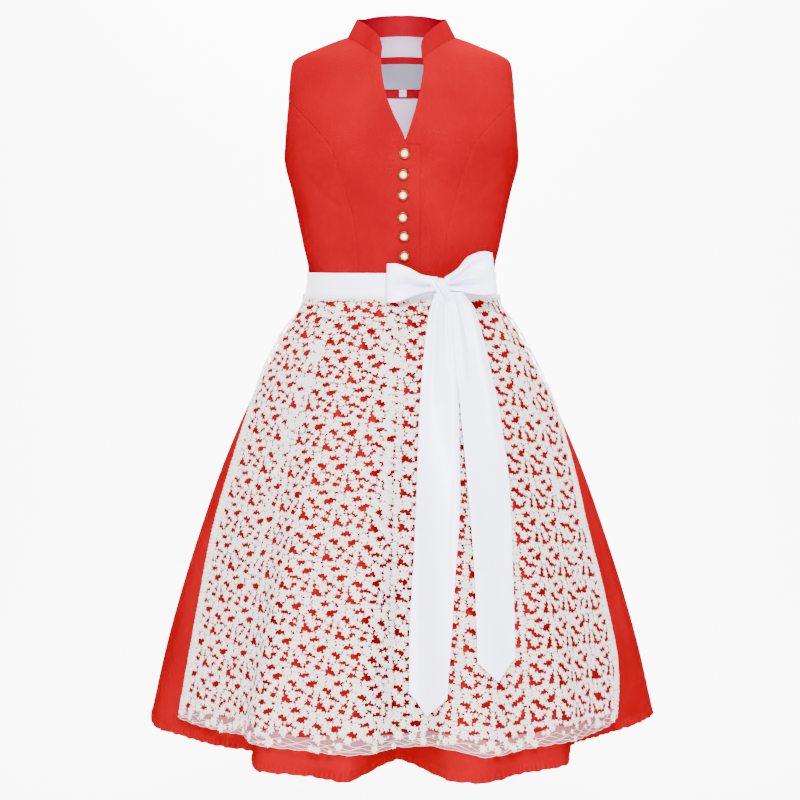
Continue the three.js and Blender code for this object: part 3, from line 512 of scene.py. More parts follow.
def aged_brass():
    """Stamped brass, darkened: a soft metal gloss, brown where patina fills its low places and dull yellow
    where it has worn off."""
    material, tree, shader = start_material("aged brass", Roughness=0.38, Metallic=0.9)
    spot = add(tree, "TexNoise", {"Scale": 420.0, "Detail": 3.0},
               {"Vector": add(tree, "TexCoord").outputs["Object"]}).outputs["Fac"]
    colour = add(tree, "ValToRGB", links={"Fac": spot}, stops=[(0.35, "#2E1A0E"), (0.62, "#7A5630")])
    connect(tree, shader, colour.outputs["Color"], spot, 0.2, 0.2)
    return material


# Cotton and linen in plain weave, dyed in the piece: a full matte red with a fine uneven grain.
RED_BODICE = woven("cotton linen, dyed red", "#6C0009", "#610008")
# Cotton poplin, with finer and more even threads: the same red, smoother.
RED_SKIRT = woven("cotton poplin, dyed red", "#700008", "#690007", spacing=5.65, depth=0.1, slub=0.1)
# The poplin of the facings, dyed apart: a cooler red.
RED_FACING = woven("cotton poplin facing, dyed red", "#700011", "#680010", depth=0.1)
# Viscose lining of fine smooth threads: a cool white with little gloss. Its colour is set well below that
# white, painted shade of the inside of the neck.
LINING = woven("viscose lining", "#A491A7", "#99879C", spacing=5.03, depth=0.06, roughness=0.7, gloss=0.2)
# Damask label woven of bright polyester: silver grey with a soft shine.
LABEL = woven("woven damask label", "#656370", "#555361", spacing=4.4, depth=0.12, roughness=0.45,
              gloss=0.3)
SATIN = satin_cloth()
GUIPURE = lace_thread()
TULLE = tulle()
PEARL = pearl_bead()
BRASS = aged_brass()

# ------------------------------------------------------------------ bodice
arm_front, arm_back = along(ARMHOLE, "z", "front"), along(ARMHOLE, "z", "back")
front_princess, back_princess = along(FRONT_PRINCESS, "z", "x"), along(BACK_PRINCESS, "z", "x")
neck_seam_angle, neck_seam_height = along(NECK_SEAM, "z", "angle"), along(NECK_SEAM, "angle", "z")
neckline_right, neckline_left = along(NECKLINE_RIGHT, "z", "x"), along(NECKLINE_LEFT, "z", "x")


def armhole_angle(z, behind):
    """Angle from the centre at which an armhole's edge lies."""
    edge = (arm_back if behind else arm_front)(z)

    def inside(angle):
        return np.abs(body(180 - angle if behind else angle, z)[..., 1]) > edge

    return halved(z.shape, 0, 90, inside)


def centre_edge(z, behind):
    """Outer edge of a centre panel, as an angle from the centre: shoulder seam, armhole, then princess seam,
    which stays a little inside the armhole."""
    arm = np.minimum(armhole_angle(z, behind), 90)
    angle = np.abs(angle_at((back_princess if behind else front_princess)(z), z, behind))
    princess = np.minimum(180 - angle if behind else angle, arm - 0.6)
    return np.where(z > SHOULDER, 90.0, np.where(z > PRINCESS, arm, princess))


def rows_between(*stops, step=3.2):
    """Heights from the first stop to the last, each stop kept and the spaces between them filled evenly."""
    parts = []
    for start, end in zip(stops, stops[1:]):
        count = max(int(abs(end - start) / step), 1)
        parts.append(np.linspace(start, end, count + 1)[:-1])
    return np.concatenate([*parts, stops[-1:]])


def run(grid, axis):
    """Length along a grid from its first line to each of its points."""
    steps = np.linalg.norm(np.diff(grid, axis=axis), axis=-1)
    return np.concatenate([np.zeros_like(np.take(steps, [0], axis)), np.cumsum(steps, axis)], axis)


def rolled(grid, sides, depth, wide=1.2):
    """Edges of a panel turned under at its seams: a drop of bell section that falls off away from the named
    sides."""
    u, v = run(grid, 0), run(grid, 1)
    away = {"first": u, "last": u[-1:] - u, "top": v, "foot": v[:, -1:] - v}
    return lifted(grid, -depth * sum(np.exp(-(away[side] / wide) ** 2) for side in sides))


def creased(grid, angle, z, creases):
    """Soft creases: each a ridge of bell section along a line between two places, fading at both ends."""
    height = np.zeros(grid.shape[:2])
    for a0, z0, a1, z1, wide, high in zip(*creases.values()):
        share = np.clip((z - z0) / (z1 - z0), 0, 1)
        off = np.radians(angle - mix(a0, a1, share)) * np.linalg.norm(grid[..., :2], axis=-1)
        height += high * bump(off, 0, wide) * np.sin(np.pi * share) ** 1.2
    return lifted(grid, height)


CREASE_COLUMNS = "angle z end_angle end_z wide high"  # where a crease starts and ends, its width and height
BODICE_CREASES = table(CREASE_COLUMNS, [
    (-66, -196, -42, -262, 7, -0.9), (66, -192, 44, -258, 7, -0.9), (-30, -340, -34, -250, 9, -0.7),
    (32, -345, 30, -262, 8, -0.7), (-80, -300, -60, -352, 8, 0.8), (78, -302, 62, -350, 8, 0.8),
    (-50, -330, -46, -364, 6, 0.9), (48, -325, 52, -364, 6, 0.8), (150, -220, 165, -330, 9, -0.9),
    (210, -220, 196, -330, 9, -0.9), (120, -196, 138, -250, 8, -0.8), (240, -198, 222, -255, 8, -0.8)])
BODY_RADIUS = 130  # of the bodice on average


def body_uv(angle, z):
    """Weave coordinates on the bodice, in millimetres round and up."""
    return np.stack(np.broadcast_arrays(np.radians(angle) * BODY_RADIUS, z), -1)


def panel(name, angle, z, sides, form=body, depth=0.1):
    """Panel of the bodice from a grid of angles and heights: red outside and faced with lining, its named
    sides turned under by a depth."""
    grid = creased(rolled(form(angle, z), sides, depth), angle, z, BODICE_CREASES)
    cloth(name, grid, [RED_BODICE, LINING], CLOTH, body_uv(angle, z))


# Heights at which rows of the panels have to lie, because a seam, an edge or a corner is there.
SHOULDER_STOPS = (-5, SHOULDER, PRINCESS, PRINCESS - 1)
SEAM_STOPS = (PRINCESS - 1, -121, -156, OVERLAP["top"] + 0.4, OVERLAP["top"], -182, UNDERARM - 1, -235, -300,
              WAIST + SEAM / 2)


def left_sunk(angle, z):
    """The left front, sunk under the overlap by the overlap's wall and the gap between them."""
    point = body(angle, z)
    under = (CLOTH + LOOSE) * (1 - smooth(point[..., 0], OVERLAP["edge"] + 2, OVERLAP["edge"] + 12))
    point[..., :2] *= (1 - under / np.linalg.norm(point[..., :2], axis=-1))[..., None]
    return point


# How far an edge that has to show is turned down, and the left front's at its princess seam, where the side
# panel's edge is what shows.
EDGE_DROP, SLIGHT_DROP = 0.9, 0.15


def make_fronts():
    """The two front centres, each from the collar's seam, the neckline and the closure out to the armhole
    and the princess seam. The right one carries the overlap."""
    z = rows_between(*SHOULDER_STOPS, *SEAM_STOPS[1:])
    overlap_line = np.where(z <= OVERLAP["top"], OVERLAP["edge"], neckline_right(z))
    for side, sign, line, form, depth in (
        ("right", -1, overlap_line, body, EDGE_DROP),
        ("left", 1, neckline_left(z), left_sunk, SLIGHT_DROP),
    ):
        inner = np.where(z > COLLAR_FOOT, sign * (neck_seam_angle(z) + 0.3), angle_at(line, z))
        outer = sign * centre_edge(z, False)
        first, last = (outer, inner) if side == "right" else (inner, outer)
        u = np.linspace(0, 1, 57)[:, None]
        angle, height = np.broadcast_arrays(mix(first, last, u), z)
        panel(f"front_centre_{side}", angle, height, ("last", "foot"), form, depth)


def make_sides():
    """The four side panels, each from its princess seam to the armhole and the side seam."""
    z = rows_between(*SEAM_STOPS)
    for side, sign in (("right", -1), ("left", 1)):
        for where, behind in (("front", False), ("back", True)):
            inner = centre_edge(z, behind)
            arm = np.where(z > UNDERARM, armhole_angle(z, behind), 90.0)
            u = np.linspace(0, 1, 33)[:, None]
            outward = sign * (-1 if behind else 1) > 0
            share = mix(np.minimum(inner, arm - 0.1), arm, u if outward else 1 - u)
            angle, height = np.broadcast_arrays(sign * (180 - share if behind else share), z)
            panel(f"{where}_side_{side}", angle, height, ("first", "last", "foot"), depth=EDGE_DROP)


def back_angles(u, z):
    """Angles and heights of the back centre, a share u of the way to its seams."""
    return np.broadcast_arrays(180 + u[:, None] * centre_edge(z, True), z)


def sewn_inside(name, angle, height, layer, material):
    """Sheet that lies inside the back as the given layer, under the layers before it."""
    down = -CLOTH - layer * LOOSE - (layer - 1) * THIN
    grid = lifted(body(angle, height), np.full(angle.shape, down))
    cloth(name, grid, [material], THIN, body_uv(angle, height))


LABEL_BEND = 84  # radius of the back's curve at the label


def make_back():
    """The back centre, and inside it the lining, the patch, the label and the tab, one over the other."""
    z = rows_between(NECK - 0.3, SHOULDER, PRINCESS, *SEAM_STOPS)
    angle, height = back_angles(np.linspace(-1, 1, 81), z)
    panel("back_centre", angle, height, ("first", "last", "foot"))
    z = rows_between(NECK - 1, SHOULDER, PRINCESS, UNDERARM - 1)
    angle, height = back_angles(np.linspace(-0.7, 0.7, 61), z)
    sewn_inside("back_lining", angle, height, 1, LINING)
    for name, middle, half, top, foot, layer, material, slot in (
        ("neck_patch", 0, 41, -30.5, -86.5, 2, RED_FACING, "red_cloth"),
        ("label", 0, 36, -39.5, -73.8, 3, LABEL, "woven_label"),
        ("size_tab", -2, 5.2, -74.2, -84.6, 3, LINING, "white_lining"),
    ):
        across = (middle + np.linspace(-half, half, 33)[:, None]) / LABEL_BEND
        angle, height = np.broadcast_arrays(180 + np.degrees(across), np.linspace(top, foot, 25))
        sewn_inside(name, angle, height, layer, material)


# Its height, angle at which it ends, angle over which a corner is rounded and share of the height that is
# left at its end, lean for each millimetre of height, dip of the top edge at the sides and its rise behind.
COLLAR = {"height": 28, "end": 22.5, "corner": 12, "corner_left": 0.55, "lean_side": 0.52, "lean_back": 0.12,
          "side_dip": 1.5, "back_rise": 1.8}


def collar_point(angle, up):
    """Stand collar: rises from the neck seam and leans in, more at the sides than behind."""
    turned = np.where(angle > 180, 360 - angle, angle)
    foot = body(angle, np.where(turned >= 90, NECK, neck_seam_height(turned)))
    lean = mix(COLLAR["lean_back"], COLLAR["lean_side"], np.abs(np.sin(np.radians(angle))))
    foot[..., :2] *= (1 - lean * up / np.linalg.norm(foot[..., :2], axis=-1))[..., None]
    foot[..., 2] += up
    return foot


def make_collar():
    """The collar round the neck, its front corners rounded as quarter circles and its top edge a little
    lower at the sides and higher behind."""
    span = 360 - 2 * COLLAR["end"]
    u = np.concatenate([np.linspace(0, 0.06, 12), np.linspace(0.066, 0.934, 150), np.linspace(0.94, 1, 12)])
    angle = mix(COLLAR["end"], 360 - COLLAR["end"], u)[:, None]
    corner = np.minimum(np.minimum(u, 1 - u) * span / COLLAR["corner"], 1)[:, None]
    rounded = mix(COLLAR["corner_left"], 1, np.sqrt(1 - (1 - corner) ** 2))
    v = np.linspace(1, 0, 15)[None]
    behind = smooth(np.abs(angle - 180), 75, 40)
    beside = np.sin(np.radians(angle)) ** 8
    tall = COLLAR["height"] - COLLAR["side_dip"] * beside + COLLAR["back_rise"] * behind
    angle, up = np.broadcast_arrays(angle, mix(-1.0, tall * rounded, v))
    grid = rolled(collar_point(angle, up), ("first", "last", "foot", "top"), 0.45, 1.8)
    cloth("collar", grid, [RED_BODICE, RED_FACING], CLOTH, body_uv(angle, up))


make_fronts()
make_sides()
make_back()
make_collar()

# ------------------------------------------------------------------ buttons
BUTTONS = table("z x", [
    (-180.7, 4.3), (-209.6, 2.5), (-238.5, 2.1), (-270, 1.8), (-297.5, 3.5), (-326, 3.9)])
# Profiles: radius and height over the cloth.
RIM = [(0, 0), (5.6, 0), (7.0, 0.5), (7.6, 1.2), (7.5, 1.9), (7.0, 2.3), (6.5, 2.1), (6.2, 1.6), (6.0, 1.2),
       (0, 1.2)]
DOME = [(0, 1.4), (5.0, 1.4), (5.65, 1.8), (PEARL_RADIUS, 2.6), (5.5, 3.8), (4.6, 4.9), (3.2, 5.7),
        (1.7, 6.1), (0, 6.2)]
BUTTON_GAP = 0.65  # from the cloth's surface to the button's back


def turned(profile, seat, out, sides=40):
    """Solid of revolution: a profile of radius and height turned round the direction out, its two ends
    closed at the axis. Gives its points, its faces and a UV centred on the axis."""
    r, h = np.array(profile, float).T
    axis = out / np.linalg.norm(out)
    across = np.cross(axis, [0, 0, 1.0])
    across /= np.linalg.norm(across)
    other = np.cross(axis, across)
    a = np.linspace(0, 2 * np.pi, sides, endpoint=False)[:, None, None]
    ring = (np.cos(a) * across + np.sin(a) * other) * r[1:-1, None] + axis * h[1:-1, None]
    verts = np.concatenate([(seat + ring).reshape(-1, 3), [seat + axis * h[0], seat + axis * h[-1]]])
    flat = np.concatenate([np.cos(a) * r[1:-1, None], np.sin(a) * r[1:-1, None]], -1).reshape(-1, 2)
    n = len(r) - 2
    faces = grid_faces((sides, n), True)
    i = np.arange(sides)
    j = (i + 1) % sides
    foot = np.stack([np.full(sides, sides * n), i * n, j * n], -1)
    cap = np.stack([np.full(sides, sides * n + 1), j * n + n - 1, i * n + n - 1], -1)
    uv = np.concatenate([flat, np.zeros((2, 2))])
    return verts, [*faces[:, ::-1], *np.concatenate([foot, cap])[:, ::-1]], uv


def make_buttons():
    """Six buttons down the overlap, each square to the cloth: its direction is the cross product of the
    cloth's own directions across and up."""
    for i, (z, x) in enumerate(zip(*BUTTONS.values()), 1):
        angle = angle_at(x, z)
        across = body(angle + 0.5, z) - body(angle - 0.5, z)
        up = body(angle, z + 1) - body(angle, z - 1)
        out = np.cross(across, up)
        out /= np.linalg.norm(out)
        for piece, profile, material, slot in (
            ("rim", RIM, BRASS, "brass_rim"),
            ("pearl", DOME, PEARL, "pearl"),
        ):
            verts, faces, uv = turned(profile, body(angle, z) + out * BUTTON_GAP, out)
            obj = new_mesh(f"button_{piece}_{i}_look", verts, faces, uv, [material])
            finish_piece(obj, f"button_{piece}_{i}")


make_buttons()

# ------------------------------------------------------------------ skirt
FINE_GATHERS = table("count phase high", [(61, 0.4, 0.9), (83, 1.9, 0.7), (47, 3.1, 0.8)])
FINE_FADE = {"start": (391, 408), "end": (440, 640)}  # depths between which the fine gathers come and go
SKIRT_CREASES = table(CREASE_COLUMNS, [
    (-84, -520, -82, -1000, 12, -2.4), (-70, -480, -68, -980, 9, 2.0), (-60, -600, -59, -1010, 10, -2.2),
    (72, -520, 71, -1000, 11, -2.2), (84, -500, 82, -990, 10, 2.2), (60, -560, 59, -1005, 9, 1.8),
    (112, -470, 113, -1000, 12, -2.4), (135, -520, 136, -1005, 11, 2.2), (160, -460, 161, -980, 10, -2.2),
    (190, -480, 188, -990, 11, 2.2), (212, -520, 213, -1000, 12, -2.4), (240, -460, 239, -1000, 10, 2.2),
    (258, -500, 260, -990, 11, -2.0), (20, -700, 19, -1005, 9, -1.6), (-25, -700, -25, -1005, 9, -1.6)])


def skirt_look(angle, z):
    """The skirt with finer uneven gathers, whose waves fade downwards, and its soft creases."""
    grid = skirt(angle, z)
    a = np.radians(angle)
    fine = sum(high * np.cos(a * count + phase + 0.8 * np.sin(3 * a))
               for count, phase, high in zip(*FINE_GATHERS.values()))
    fade = smooth(-z, *FINE_FADE["start"]) * (1 - smooth(-z, *FINE_FADE["end"]))
    wrapped = (angle + 90) % 360 - 90
    return creased(lifted(grid, fine * fade), wrapped, z, SKIRT_CREASES)


PUCKERS = {"waves": 150, "deep": 0.9, "rise": 1.1}  # waves in half of the hem, their depth and rise


def make_skirt():
    """Front and back of the skirt, and the puckered edge of each: waves whose spacing and depth wander, and
    which grow from nothing at the edge's seam."""
    z = rows_between(WAIST - SEAM / 2, BAND_BOTTOM, -440, -SKIRT_ROUND, HEM + PUCKER - 1, step=8)
    for half, middle in (("front", 0), ("back", 180)):
        u = np.linspace(-1, 1, 301)[:, None]
        angle, height = np.broadcast_arrays(middle + u * 90, z)
        cloth(f"skirt_{half}", skirt_look(angle, height), [RED_SKIRT])
    for half, middle in (("front", 0), ("back", 180)):
        z = np.linspace(HEM + PUCKER, HEM, 8)
        u = np.linspace(-1, 1, PUCKERS["waves"] * 8 + 1)[:, None]
        angle, height = np.broadcast_arrays(middle + u * 90, z)
        turn = np.pi * PUCKERS["waves"] * u + 2.2 * np.sin(17 * u) + 1.3 * np.sin(41 * u + 1)
        deep = PUCKERS["deep"] * (0.75 + 0.25 * np.sin(29 * u + 2) * np.sin(13 * u))
        drawn = smooth(HEM + PUCKER - height, 0, PUCKER)
        grid = lifted(skirt_look(angle, height), deep * drawn * np.cos(turn))
        grid[..., 2] += PUCKERS["rise"] * drawn * np.sin(turn * 0.37 + 1.0) * np.sin(turn * 0.11)
        cloth(f"hem_{half}", grid, [RED_SKIRT])


make_skirt()

# ------------------------------------------------------------------ lace apron
# One repeat of the lace is a slanted square, given by its two sides.
REPEAT = np.array([(52.0, 7.0), (-7.0, 52.0)])
# Places of a repeat's flowers by their radius. The gaps between them are longer across than down.
FLOWERS = {
    8.2: [(14, 52), (2, 20), (15, 25), (34, 13), (-2, 33)],
    6.5: [(38, 45), (23, 36), (40, 24), (3, 1), (7, 42), (32, 54)],
    5.1: [(49, 17), (24, 16), (31, 29), (-4, 44), (12, 15), (30, 41)],
    3.9: [(24, 50), (43, 16), (6, 28), (18, 16), (24, 29), (3, 10)],
    2.7: [(37, 29), (45, 28), (30, 35), (21, 41), (5, 50), (16, 42), (40, 57), (23, 8)],
}
PETALS = {8.2: (8, 4), 6.5: (7, 4), 5.1: (6, 4), 3.9: (6, 3), 2.7: (5, 2)}  # petals, points on each
FLOWER_UV = 8  # radius that every flower's UV is drawn to
FLOWER_LIFT = {"least": 0.3, "spread": 0.6, "at_band": 2.2}  # height over the apron
# Lines at which the cloth was folded into pleats: the angle at the band and at the hem. Between two lines
# the flowers run parallel, and along a line two layers lie on each other. In the panel that starts at a line
# no flower is smaller than its least radius.
FOLDS = table("top foot lap least", [
    (-104, -74, 0, 2), (-45, -50, 10, 2), (-6, -3, 12, 2), (28, 25, 8, 3), (62, 56, 10, 3), (104, 72, 0, 2)])
# Angles and heights at which lengths round the apron are measured.
ARC_ANGLES = np.linspace(-110, 110, 441)
ARC_HEIGHTS = np.linspace(APRON["top"], APRON["top"] - APRON["length"] - 16, 121)


def arc_table():
    """Length round the apron from the first angle, for each height and angle."""
    points = apron(ARC_ANGLES[None], ARC_HEIGHTS[:, None])
    gaps = np.linalg.norm(np.diff(points, axis=1), axis=-1)
    return np.concatenate([np.zeros((len(ARC_HEIGHTS), 1)), np.cumsum(gaps, 1)], 1)


ARC = arc_table()


def arc_at(angle, z):
    """Length round the apron up to an angle at a height: the table read between its four nearest entries."""
    a = np.clip((angle - ARC_ANGLES[0]) / (ARC_ANGLES[1] - ARC_ANGLES[0]), 0, len(ARC_ANGLES) - 1.001)
    h = np.clip((z - ARC_HEIGHTS[0]) / (ARC_HEIGHTS[1] - ARC_HEIGHTS[0]), 0, len(ARC_HEIGHTS) - 1.001)
    i, j = a.astype(int), h.astype(int)
    s, t = a - i, h - j
    return mix(mix(ARC[j, i], ARC[j, i + 1], s), mix(ARC[j + 1, i], ARC[j + 1, i + 1], s), t)


def angle_for(arc, z):
    """Angle at which the length round the apron has a value."""
    return halved(arc.shape, ARC_ANGLES[0], ARC_ANGLES[-1], lambda angle: arc_at(angle, z) < arc, 24)


def fold_angle(k, z):
    """Angle of a fold line at a height, straight from the band to the hem."""
    return mix(FOLDS["top"][k], FOLDS["foot"][k], (z - APRON["top"]) / -APRON["length"])


def lace_places(rng):
    """Angle, height and radius of each flower. Each pleat's panel carries the repeat about its own middle
    line, out to its two fold lines and a little beyond them; what passes the apron's edges is left off, and
    half of those on the net."""
    found = []
    counts = np.meshgrid(np.arange(-12, 13), np.arange(-3, 17), indexing="ij")
    steps = np.stack(counts, -1).reshape(-1, 2) @ REPEAT
    slant = 1.13  # length down the cloth for each millimetre of height
    for k in range(len(FOLDS["top"]) - 1):
        for radius, places in FLOWERS.items():
            if radius < FOLDS["least"][k]:
                continue
            start = (17 * k, 23 * k - 60)  # moves the repeat on from panel to panel
            at = (steps[:, None] + np.array(places, float)[None]).reshape(-1, 2) + start
            at = at + rng.normal(0, 0.4, at.shape)
            z = APRON["top"] - at[:, 1] / slant
            keep = (z < APRON["top"] - 2) & (z > ARC_HEIGHTS[-1] + 1)
            at, z = at[keep], z[keep]
            left, right = arc_at(fold_angle(k, z), z), arc_at(fold_angle(k + 1, z), z)
            arc = (left + right) / 2 + at[:, 0]
            fading = np.clip(1.2 + (z - BAND_BOTTOM) / 400, 0.1, 1)
            lap = FOLDS["lap"][k:k + 2, None] * fading
            angle = angle_for(arc, z)
            end = APRON["top"] - APRON["length"] - apron_drop(angle)
            edge = radius * 0.8
            inside = (arc > left - lap[0]) & (arc < right + lap[1])
            inside &= (arc > arc_at(apron_left(z), z) + edge) & (arc < arc_at(apron_right(z), z) - edge)
            inside &= z > end + edge * 0.7
            inside &= (z > end + APRON["net"]) | (rng.random(len(z)) < 0.5)
            found.append(np.stack([angle, z, np.full(len(z), radius)], -1)[inside])
    return np.concatenate(found)


EDGE_ROWS = [(3.6, 3.9, 5.4), (9.2, 5.1, 7.0), (14.4, 3.9, 6.2)]  # distance from the edge, radius, spacing
TOP_ROWS = [(-386.4, 3.9), (-390.6, 3.9)]  # height, radius
TOP_SPACING = 1.45  # of the rows under the waistband, in radii


def border_places(rng):
    """Rows of small flowers that lie close: along both side edges of the lace and under the waistband, which
    is about 400 mm long."""
    rows = []
    for far, radius, step in EDGE_ROWS:
        z = np.arange(APRON["top"] - 4 - far / 3, APRON["top"] - APRON["length"] + 2, -step)
        for side, sign in ((apron_left, 1), (apron_right, -1)):
            arc = arc_at(side(z), np.minimum(z, APRON["top"])) + sign * far
            rows.append(np.stack([angle_for(arc, z), z, np.full(len(z), radius)], -1))
    for height, radius in TOP_ROWS:
        z = np.full(int(400 / (radius * TOP_SPACING)), float(height))
        top = np.minimum(z, APRON["top"])
        low, high = arc_at(apron_left(z), top), arc_at(apron_right(z), top)
        arc = low + 3 + (high - low - 6) * (np.arange(len(z)) + 0.4 * rng.random(len(z))) / len(z)
        moved = z + rng.normal(0, 0.5, len(z))
        rows.append(np.stack([angle_for(arc, z), moved, np.full(len(z), radius)], -1))
    return np.concatenate(rows)


def flower_shape(radius):
    """One flower: an outline whose radius swings as a cosine between the petals' tips and their notches,
    and a raised middle. The larger ones have a ring at half their radius between the two. Gives the points,
    their heights and the triangles."""
    petals, points = PETALS[radius]
    n = petals * points
    i = np.arange(n)
    theta = i * 2 * np.pi / n
    tips = radius * (0.79 + 0.24 * np.cos(petals * theta))
    outline = np.stack([tips * np.cos(theta), tips * np.sin(theta)], -1)
    high = 0.35 + radius / 16
    if radius < 6:
        local = np.concatenate([outline, [[0, 0]]])
        return local, np.append(np.zeros(n), high), np.stack([i, (i + 1) % n, np.full(n, n)], -1)
    k = np.arange(petals)
    inner = radius / 2 * np.stack([np.cos(theta[::points]), np.sin(theta[::points])], -1)
    local = np.concatenate([outline, inner, [[0, 0]]])
    height = np.concatenate([np.zeros(n), np.full(petals, high), [high * 0.6]])
    last = (i % points) == points - 1
    outer = np.stack([i, (i + 1) % n, n + (i // points + last) % petals], -1)
    notch = np.stack([k * points + points - 1, n + (k + 1) % petals, n + k], -1)
    middle = np.stack([n + k, n + (k + 1) % petals, np.full(petals, n + petals)], -1)
    return local, height, np.concatenate([outer, notch, middle])


def make_flowers(places, rng):
    """Flowers of embroidery, each set in the plane that touches the apron at its place and turned by its own
    angle. The smaller ones lie higher, and those near the waistband lie over its lower edge."""
    verts, faces, uvs, total = [], [], [], 0
    for radius in PETALS:
        rows = places[np.isclose(places[:, 2], radius)]
        local, dome, tri = flower_shape(radius)
        a, z = rows[:, 0], rows[:, 1]
        centre = apron(a, z)
        right = apron(a + 0.4, z) - apron(a - 0.4, z)
        right /= np.linalg.norm(right, axis=1, keepdims=True)
        out = np.cross(right, apron(a, z + 1) - apron(a, z - 1))
        out /= np.linalg.norm(out, axis=1, keepdims=True)
        up = np.cross(out, right)
        spin = rng.random(len(rows)) * 2 * np.pi
        c, s = np.cos(spin)[:, None], np.sin(spin)[:, None]
        x, y = local[:, 0] * c - local[:, 1] * s, local[:, 0] * s + local[:, 1] * c
        lift = FLOWER_LIFT["least"] + rng.random(len(rows)) * FLOWER_LIFT["spread"] + (8 - radius) * 0.05
        lift = lift + FLOWER_LIFT["at_band"] * smooth(z, -396, -388)
        height = lift[:, None] + dome
        point = (centre[:, None] + right[:, None] * x[..., None] + up[:, None] * y[..., None]
                 + out[:, None] * height[..., None])
        verts.append(point.reshape(-1, 3))
        uvs.append(np.tile(local * FLOWER_UV / radius, (len(rows), 1)))
        faces.append((tri[None] + total + len(local) * np.arange(len(rows))[:, None, None]).reshape(-1, 3))
        total += len(rows) * len(local)
    obj = new_mesh("apron_flowers", np.concatenate(verts), np.concatenate(faces), np.concatenate(uvs),
                   [GUIPURE])
    u, v = np.meshgrid(np.linspace(0, 1, 241), np.linspace(0, 1, 81), indexing="ij")
    grid = apron(*apron_chart(u, v * (1 - APRON["net"] / APRON["length"])))
    finish_piece(obj, "apron_lace")


def apron_chart(u, v):
    """Angle and height at a share across and a share down the apron."""
    guess = APRON["top"] - APRON["length"] * v
    angle = mix(apron_left(guess), apron_right(guess), u)
    return angle, guess - apron_drop(angle) * v


# Threads along the net: share of the way down it, and how far each swings up and down.
NET_THREADS = table("share wave", [(0.4, 2.2), (0.55, 2.4), (0.7, 2.0), (0.84, 1.4), (0.985, 0)])
NET_THREAD_HALF = 0.22  # half of a thread's width
# Scallops along the net's foot and their depth, height of the waves in its upper edge, and half waves in a
# thread.
NET = {"scallops": 34, "scallop": 1.4, "upper": 3.5, "waves": 40}
THREAD_UV = 3.0  # a place in the flowers' UV between the straw middle and the shaded rim


def make_net():
    """Net strip at the lower edge with a scalloped foot, and the thicker threads that run along it in
    waves."""
    start = 1 - APRON["net"] / APRON["length"]
    u = np.linspace(0, 1, 901)[:, None]
    scallop = NET["scallop"] * np.abs(np.sin(u * np.pi * NET["scallops"])) / APRON["length"]
    foot = 1 - 0.003 + scallop
    top = start + NET["upper"] * np.sin(u * 60) * np.sin(u * 23) / APRON["length"]
    v = mix(top, foot, np.linspace(0, 1, 9)[None])
    grid = apron(*apron_chart(np.broadcast_to(u, v.shape), v))
    rows = []
    for share, wave in zip(*NET_THREADS.values()):
        swing = wave * np.sin(u * np.pi * NET["waves"] + share * 9)
        line = mix(start, foot, share) + swing / APRON["length"]
        v = line + np.array([-NET_THREAD_HALF, NET_THREAD_HALF])[None] / APRON["length"]
        rows.append(lifted(apron(*apron_chart(np.broadcast_to(u, v.shape), v)), np.full(v.shape, 0.3)))
    verts = np.concatenate([row.reshape(-1, 3) for row in rows])
    faces = np.concatenate([grid_faces(row.shape[:2]) + k * row.shape[0] * 2 for k, row in enumerate(rows)])
    threads = new_mesh("apron_net_threads", verts, faces, np.full((len(verts), 2), THREAD_UV), [GUIPURE])
    finish_piece(threads)
    obj = new_mesh("apron_net_cloth", grid.reshape(-1, 3), grid_faces(grid.shape[:2]),
                   lengths(grid).reshape(-1, 2), [TULLE])
    finish_piece(obj, "apron_net")


rng = np.random.default_rng(7)
make_flowers(np.concatenate([lace_places(rng), border_places(rng)]), rng)
make_net()


# ------------------------------------------------------------------ satin
def tie_ring(angle, z):
    """Ring that the satin band lies on: the bodice above the waist seam and the skirt below it."""
    upper, lower = body(angle, np.maximum(z, WAIST)), skirt(angle, np.minimum(z, WAIST))
    reach = np.maximum(np.linalg.norm(upper[..., :2], axis=-1), np.linalg.norm(lower[..., :2], axis=-1))
    return place(angle, reach, z)


BAND_CREASES = table(CREASE_COLUMNS, [
    (-90, -366, -30, -362, 2.2, 0.5), (-80, -377, -10, -373, 2.4, -0.5), (20, -360, 80, -368, 2.0, 0.5),
    (60, -378, 92, -372, 2.0, 0.5), (120, -362, 175, -368, 2.2, 0.5), (185, -372, 240, -366, 2.2, -0.5)])
BAND_OPEN = {"waistband": (0, 98), "tie_back": (180, 82)}  # middle and half of each one's angle
BAND_OUT = 2.6  # from the dress to the band's face
BAND_DIP = {"angle": 33, "wide": 13, "dip": 8.5}  # where the bow draws the band's upper edge down


def make_band():
    """Satin band in front and tie behind, with soft creases along them, each a bell across and a sine along.
    Towards the bow the band's upper edge is drawn down."""
    seam_angle = np.degrees(SEAM / 2 / body_half(WAIST))
    for name, (middle, opening) in BAND_OPEN.items():
        u = np.linspace(-1, 1, 221)[:, None]
        angle = middle + u * (opening - seam_angle)
        top = BAND_TOP - BAND_DIP["dip"] * bump(angle, BAND_DIP["angle"], BAND_DIP["wide"])
        angle, height = np.broadcast_arrays(angle, mix(top, BAND_BOTTOM + SEAM, np.linspace(0, 1, 27)[None]))
        grid = lifted(tie_ring(angle, height), np.full(angle.shape, BAND_OUT))
        crease = np.zeros(angle.shape)
        for a0, z0, a1, z1, wide, high in zip(*BAND_CREASES.values()):
            t = np.clip((angle - a0) / (a1 - a0), 0, 1)
            crease += high * bump(height, mix(z0, z1, t), wide) * np.sin(np.pi * t)
        grid = rolled(lifted(grid, crease), ("top", "foot"), 0.5, 1.2)
        cloth(name, grid, [SATIN], THIN)


